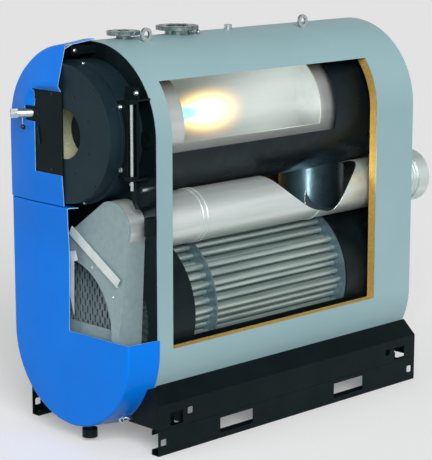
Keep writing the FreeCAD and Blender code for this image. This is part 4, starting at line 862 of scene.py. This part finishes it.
raised = add(screw_tree, "ShaderNodeMath", {0: base, 1: 0.5, 2: thin}, operation="MULTIPLY_ADD").outputs[0]
above = add(screw_tree, "ShaderNodeMath", {0: base, 1: thin}, operation="ADD").outputs[0]
half_thin = add(screw_tree, "ShaderNodeMath", {0: thin, 1: 0.5}, operation="MULTIPLY").outputs[0]
stack = []
for mesh_part, height in ((body, raised), (top, above), (washer, half_thin)):
    lift = add(screw_tree, "ShaderNodeCombineXYZ", {"Z": height}).outputs[0]
    raised_part = add(screw_tree, "GeometryNodeTransform", {"Geometry": mesh_part, "Translation": lift})
    stack.append(raised_part.outputs[0])
head = add(screw_tree, "GeometryNodeJoinGeometry", {0: stack}).outputs[0]
heads = add(screw_tree, "GeometryNodeInstanceOnPoints", {"Points": given["Geometry"], "Instance": head,
                                                         "Rotation": given["Facing"]}).outputs[0]
turn = add(screw_tree, "FunctionNodeRandomValue", {"Min": 0.0, "Max": 60.0, "Seed": 4},
           data_type="FLOAT").outputs[1]
angle = add(screw_tree, "ShaderNodeMath", {0: turn}, operation="RADIANS").outputs[0]
spin = add(screw_tree, "ShaderNodeCombineXYZ", {"Z": angle}).outputs[0]
heads = add(screw_tree, "GeometryNodeRotateInstances", {"Instances": heads, "Rotation": spin,
                                                        "Local Space": True}).outputs[0]
finished(screw_tree, heads, given["Finish"])
print("screw tree nodes:", len(screw_tree.nodes))

# %% Screws in place
TO_FRONT = (math.pi / 2, 0, 0)
TO_TOP = (0, 0, 0)
drum_low, drum_high = (Vector(corner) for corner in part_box("door_drum"))
door_z = (drum_low.z + drum_high.z) / 2
rim = (drum_high.z - drum_low.z) / 2 / MM - 14     # how far the rim's nuts stand from the door's middle


def on_front(name, spots):
    """Points on the front of a CAD piece, found by rays from the front, from (x, z) pairs in
    millimetres."""
    mesh = nodes[name].data
    shape = BVHTree.FromPolygons([vertex.co for vertex in mesh.vertices],
                                 [face.vertices for face in mesh.polygons])
    points = []
    for x, z in spots:
        point = shape.ray_cast(Vector((x * MM, hood_low.y - 1, z * MM)), Vector((0, 1, 0)))[0]
        if point:
            points.append(point)
    print(name, "screw places:", len(points), "of", len(spots))
    return points


# Places are (x, z) in millimetres: from the door's middle for its face, else in the machine's frame.
door_face = ((78, 181), (176, 77), (176, -77), (78, -181), (220, 225), (220, -225))
casing_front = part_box("casing_jacket")[0][1]
trunk_low = Vector(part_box("flue_collector")[0])
# Name, body, slot, finish, (width across flats, height, washer's radius) in mm, facing, places.
SCREWS = (
    ("door_face_screws", "burner_door", "frame_black", knob_black, (9, 3, 6), TO_FRONT,
     on_front("door_drum", [(x, door_z / MM + z) for x, z in door_face])),
    ("plate_screws", "burner_door", "zinc", knob_black, (9, 3, 7), TO_FRONT,
     on_front("burner_plate", ((-71, 1709), (-176, 1605), (-81, 1347)))),
    ("rim_nuts", "burner_door", "zinc", zinc_plate, (14, 9, 8), TO_FRONT,
     on_front("door_drum", [(60, door_z / MM + z) for z in (rim, -rim)])),
    ("leaf_screws", "burner_door", "zinc", zinc_plate, (17, 12, 13), TO_FRONT,
     on_front("hinge_leaf", ((318, 1676), (318, 1380)))),
    ("bracket_screws", "boiler", "zinc", zinc_plate, (17, 10, 12), TO_FRONT,
     on_front("hinge_bracket_upper", ((390, 1744),)) + on_front("door_stay", ((370, 1316),))),
    ("collector_screws", "boiler", "zinc", zinc_plate, (9, 4, 7), TO_FRONT,
     on_front("flue_collector", ((115, 885), (153, 897), (276, 767), (139, 597)))),
    ("hood_screw", "boiler", "zinc", zinc_plate, (12, 5, 9), (0, math.pi / 2, 0),
     [(16 * MM, HOOD_FRONT + 46 * MM, 1916 * MM)]),
    ("ledge_screws", "boiler", "zinc", zinc_plate, (13, 8, 10), TO_TOP,
     [(side * 450 * MM, HOOD_FRONT + y * MM, 126 * MM) for side in (1, -1) for y in (232, 1900)]),
)
for name, body_name, slot, finish, (across_flats, height, washer_radius), facing, points in SCREWS:
    screws = grown(name, screw_tree, {"Across": across_flats * MM, "Height": height * MM,
                                      "Washer": washer_radius * MM, "Facing": facing, "Finish": finish},
                   seeds(points))
    place_on(screws, body_name, slot)

# %% [markdown]
# ## Small plates and knobs
# A few plain pieces finish the front: the folded blade beside the collector's opening, whose paler
# sheet is painted light, the black hook on the burner plate, a rubber stop at the casing's edge, and
# the black ball on the sight tube's lever. They are so plain that a cut-out outline given a
# thickness, or a stock sphere, makes each of them.

# %% Small pieces
def slab(name, outline, depth, gauge, *finishes):
    """A plate from an (x, z) outline in millimetres; its front's y and its gauge are in metres."""
    work = bmesh.new()
    face = work.faces.new([work.verts.new((x * MM, depth, z * MM)) for x, z in outline])
    for part in bmesh.ops.extrude_face_region(work, geom=[face])["geom"]:
        if isinstance(part, bmesh.types.BMVert):
            part.co.y += gauge
    bmesh.ops.recalc_face_normals(work, faces=work.faces)
    mesh = bpy.data.meshes.new(name)
    work.to_mesh(mesh)
    work.free()
    crisp(mesh)
    return stand(name, mesh, *finishes)


BLADE = ((-12, 951), (31, 958), (48, 914), (19, 905), (19, 890), (13, 642), (-17, 742), (-14, 857))
# The blade's paler sheet is painted light.
blade = slab("collector_blade", BLADE, trunk_low.y - 3 * MM, 2 * MM, bright_sheet)
place_on(blade, "boiler", "collector_grey")
HANDLE = ((-186, 1540), (-176, 1546), (-168, 1530), (-166, 1500), (-160, 1480), (-160, 1462),
          (-172, 1458), (-176, 1470), (-172, 1484), (-176, 1502), (-177, 1524), (-182, 1532))
handle = slab("plate_handle", HANDLE, plate_low.y - 6 * MM, 7 * MM, vessel_enamel)
place_on(handle, "burner_door", "frame_black")
STOP = ((412, 1070), (436, 1070), (436, 1157), (412, 1157))
stop = slab("rubber_stop", STOP, casing_front - 56 * MM, 55 * MM, frame_coat)
place_on(stop, "boiler", "frame_black")

lever_low, lever_high = (Vector(corner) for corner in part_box("sight_lever"))
KNOB = (lever_high.x - lever_low.x) / 2 + 0.4 * MM
work = bmesh.new()
bmesh.ops.create_uvsphere(work, u_segments=24, v_segments=16, radius=KNOB)
middle = (lever_low + lever_high) / 2
bmesh.ops.translate(work, verts=work.verts, vec=(middle.x, middle.y, lever_low.z + KNOB))
knob_mesh = bpy.data.meshes.new("lever_ball")
work.to_mesh(knob_mesh)
work.free()
crisp(knob_mesh)
place_on(stand("lever_ball", knob_mesh, knob_black), "burner_door", "frame_black")

# %% [markdown]
# ## Floor and light
# The machine stands on a wide pale floor that also fills the background, under a pale sky that is
# brightest near the horizon. A low, very broad sun from the front right reaches into the cut, where
# hard lamps would draw black shadows. A soft box in front lifts the hood, and a narrow one inside the
# cut pipe puts the bright upright streak on the black neck.

# %% Floor and lights
FLOOR = 60.0
floor_paint, floor_tree, floor_shader = material("floor_paint", Roughness=1.0, Specular_IOR_Level=0.0)
shade = {0: clouds(floor_tree, 2.0, 0, 1), 6: (0.86, 0.86, 0.86, 1), 7: (0.865, 0.865, 0.865, 1)}
shade = add(floor_tree, "ShaderNodeMix", shade, data_type="RGBA").outputs[2]
floor_tree.links.new(shade, floor_shader.inputs["Base Color"])
floor_tree.links.new(shade, floor_shader.inputs["Emission Color"])
floor_shader.inputs["Emission Strength"].default_value = 0.22
floor_mesh = bpy.data.meshes.new("floor")
corners = [(-FLOOR, -FLOOR, -MM), (FLOOR, -FLOOR, -MM), (FLOOR, FLOOR, -MM), (-FLOOR, FLOOR, -MM)]
floor_mesh.from_pydata(corners, [], [(0, 1, 2, 3)])
floor = stand("floor", floor_mesh, floor_paint)
floor.visible_diffuse = False      # else its glow would light the machine from below

world = bpy.data.worlds.new("studio")
bpy.context.scene.world = world
world.use_nodes = True
sky_tree = world.node_tree
sky = sky_tree.nodes["Background"]
towards = add(sky_tree, "ShaderNodeTexCoord").outputs["Generated"]
up = add(sky_tree, "ShaderNodeSeparateXYZ", {0: towards}).outputs["Z"]
high = {"Value": up, "From Min": 0.2, "From Max": 0.65, "To Min": 1.0, "To Max": 0.2}
high = add(sky_tree, "ShaderNodeMapRange", high, interpolation_type="SMOOTHSTEP").outputs["Result"]
low = {"Value": up, "From Min": -0.2, "From Max": 0.2, "To Min": 0.02, "To Max": 1.0}
low = add(sky_tree, "ShaderNodeMapRange", low, interpolation_type="SMOOTHSTEP").outputs["Result"]
sky_tree.links.new(add(sky_tree, "ShaderNodeMath", {0: high, 1: low}, operation="MULTIPLY").outputs[0],
                   sky.inputs["Color"])
sky.inputs["Strength"].default_value = 0.75


def softbox(name, place, target, width, height, power):
    """A rectangular area light at place that faces target."""
    lamp = bpy.data.lights.new(name, "AREA")
    lamp.shape = "RECTANGLE"
    lamp.size = width
    lamp.size_y = height
    lamp.energy = power
    made = bpy.data.objects.new(name, lamp)
    made.location = place
    made.rotation_euler = (Vector(target) - Vector(place)).to_track_quat("-Z", "Y").to_euler()
    made.visible_camera = False
    bpy.context.scene.collection.objects.link(made)


sun = bpy.data.lights.new("sun", "SUN")
sun.energy = 3.0
sun.angle = math.radians(40)
sun_holder = bpy.data.objects.new("sun", sun)
sun_holder.rotation_euler = Vector((-0.74, 0.5, -0.42)).to_track_quat("-Z", "Y").to_euler()
bpy.context.scene.collection.objects.link(sun_holder)
softbox("streak", (0.24, 0.3, 1.09), (0, 0.64, 1.09), 0.04, 0.2, 4.0)
softbox("front", (-1.5, -7.0, 3.0), (0, -1, 1.0), 3.0, 3.0, 60)
bpy.context.scene.view_settings.view_transform = "Standard"
print("lights:", len(bpy.data.lights))
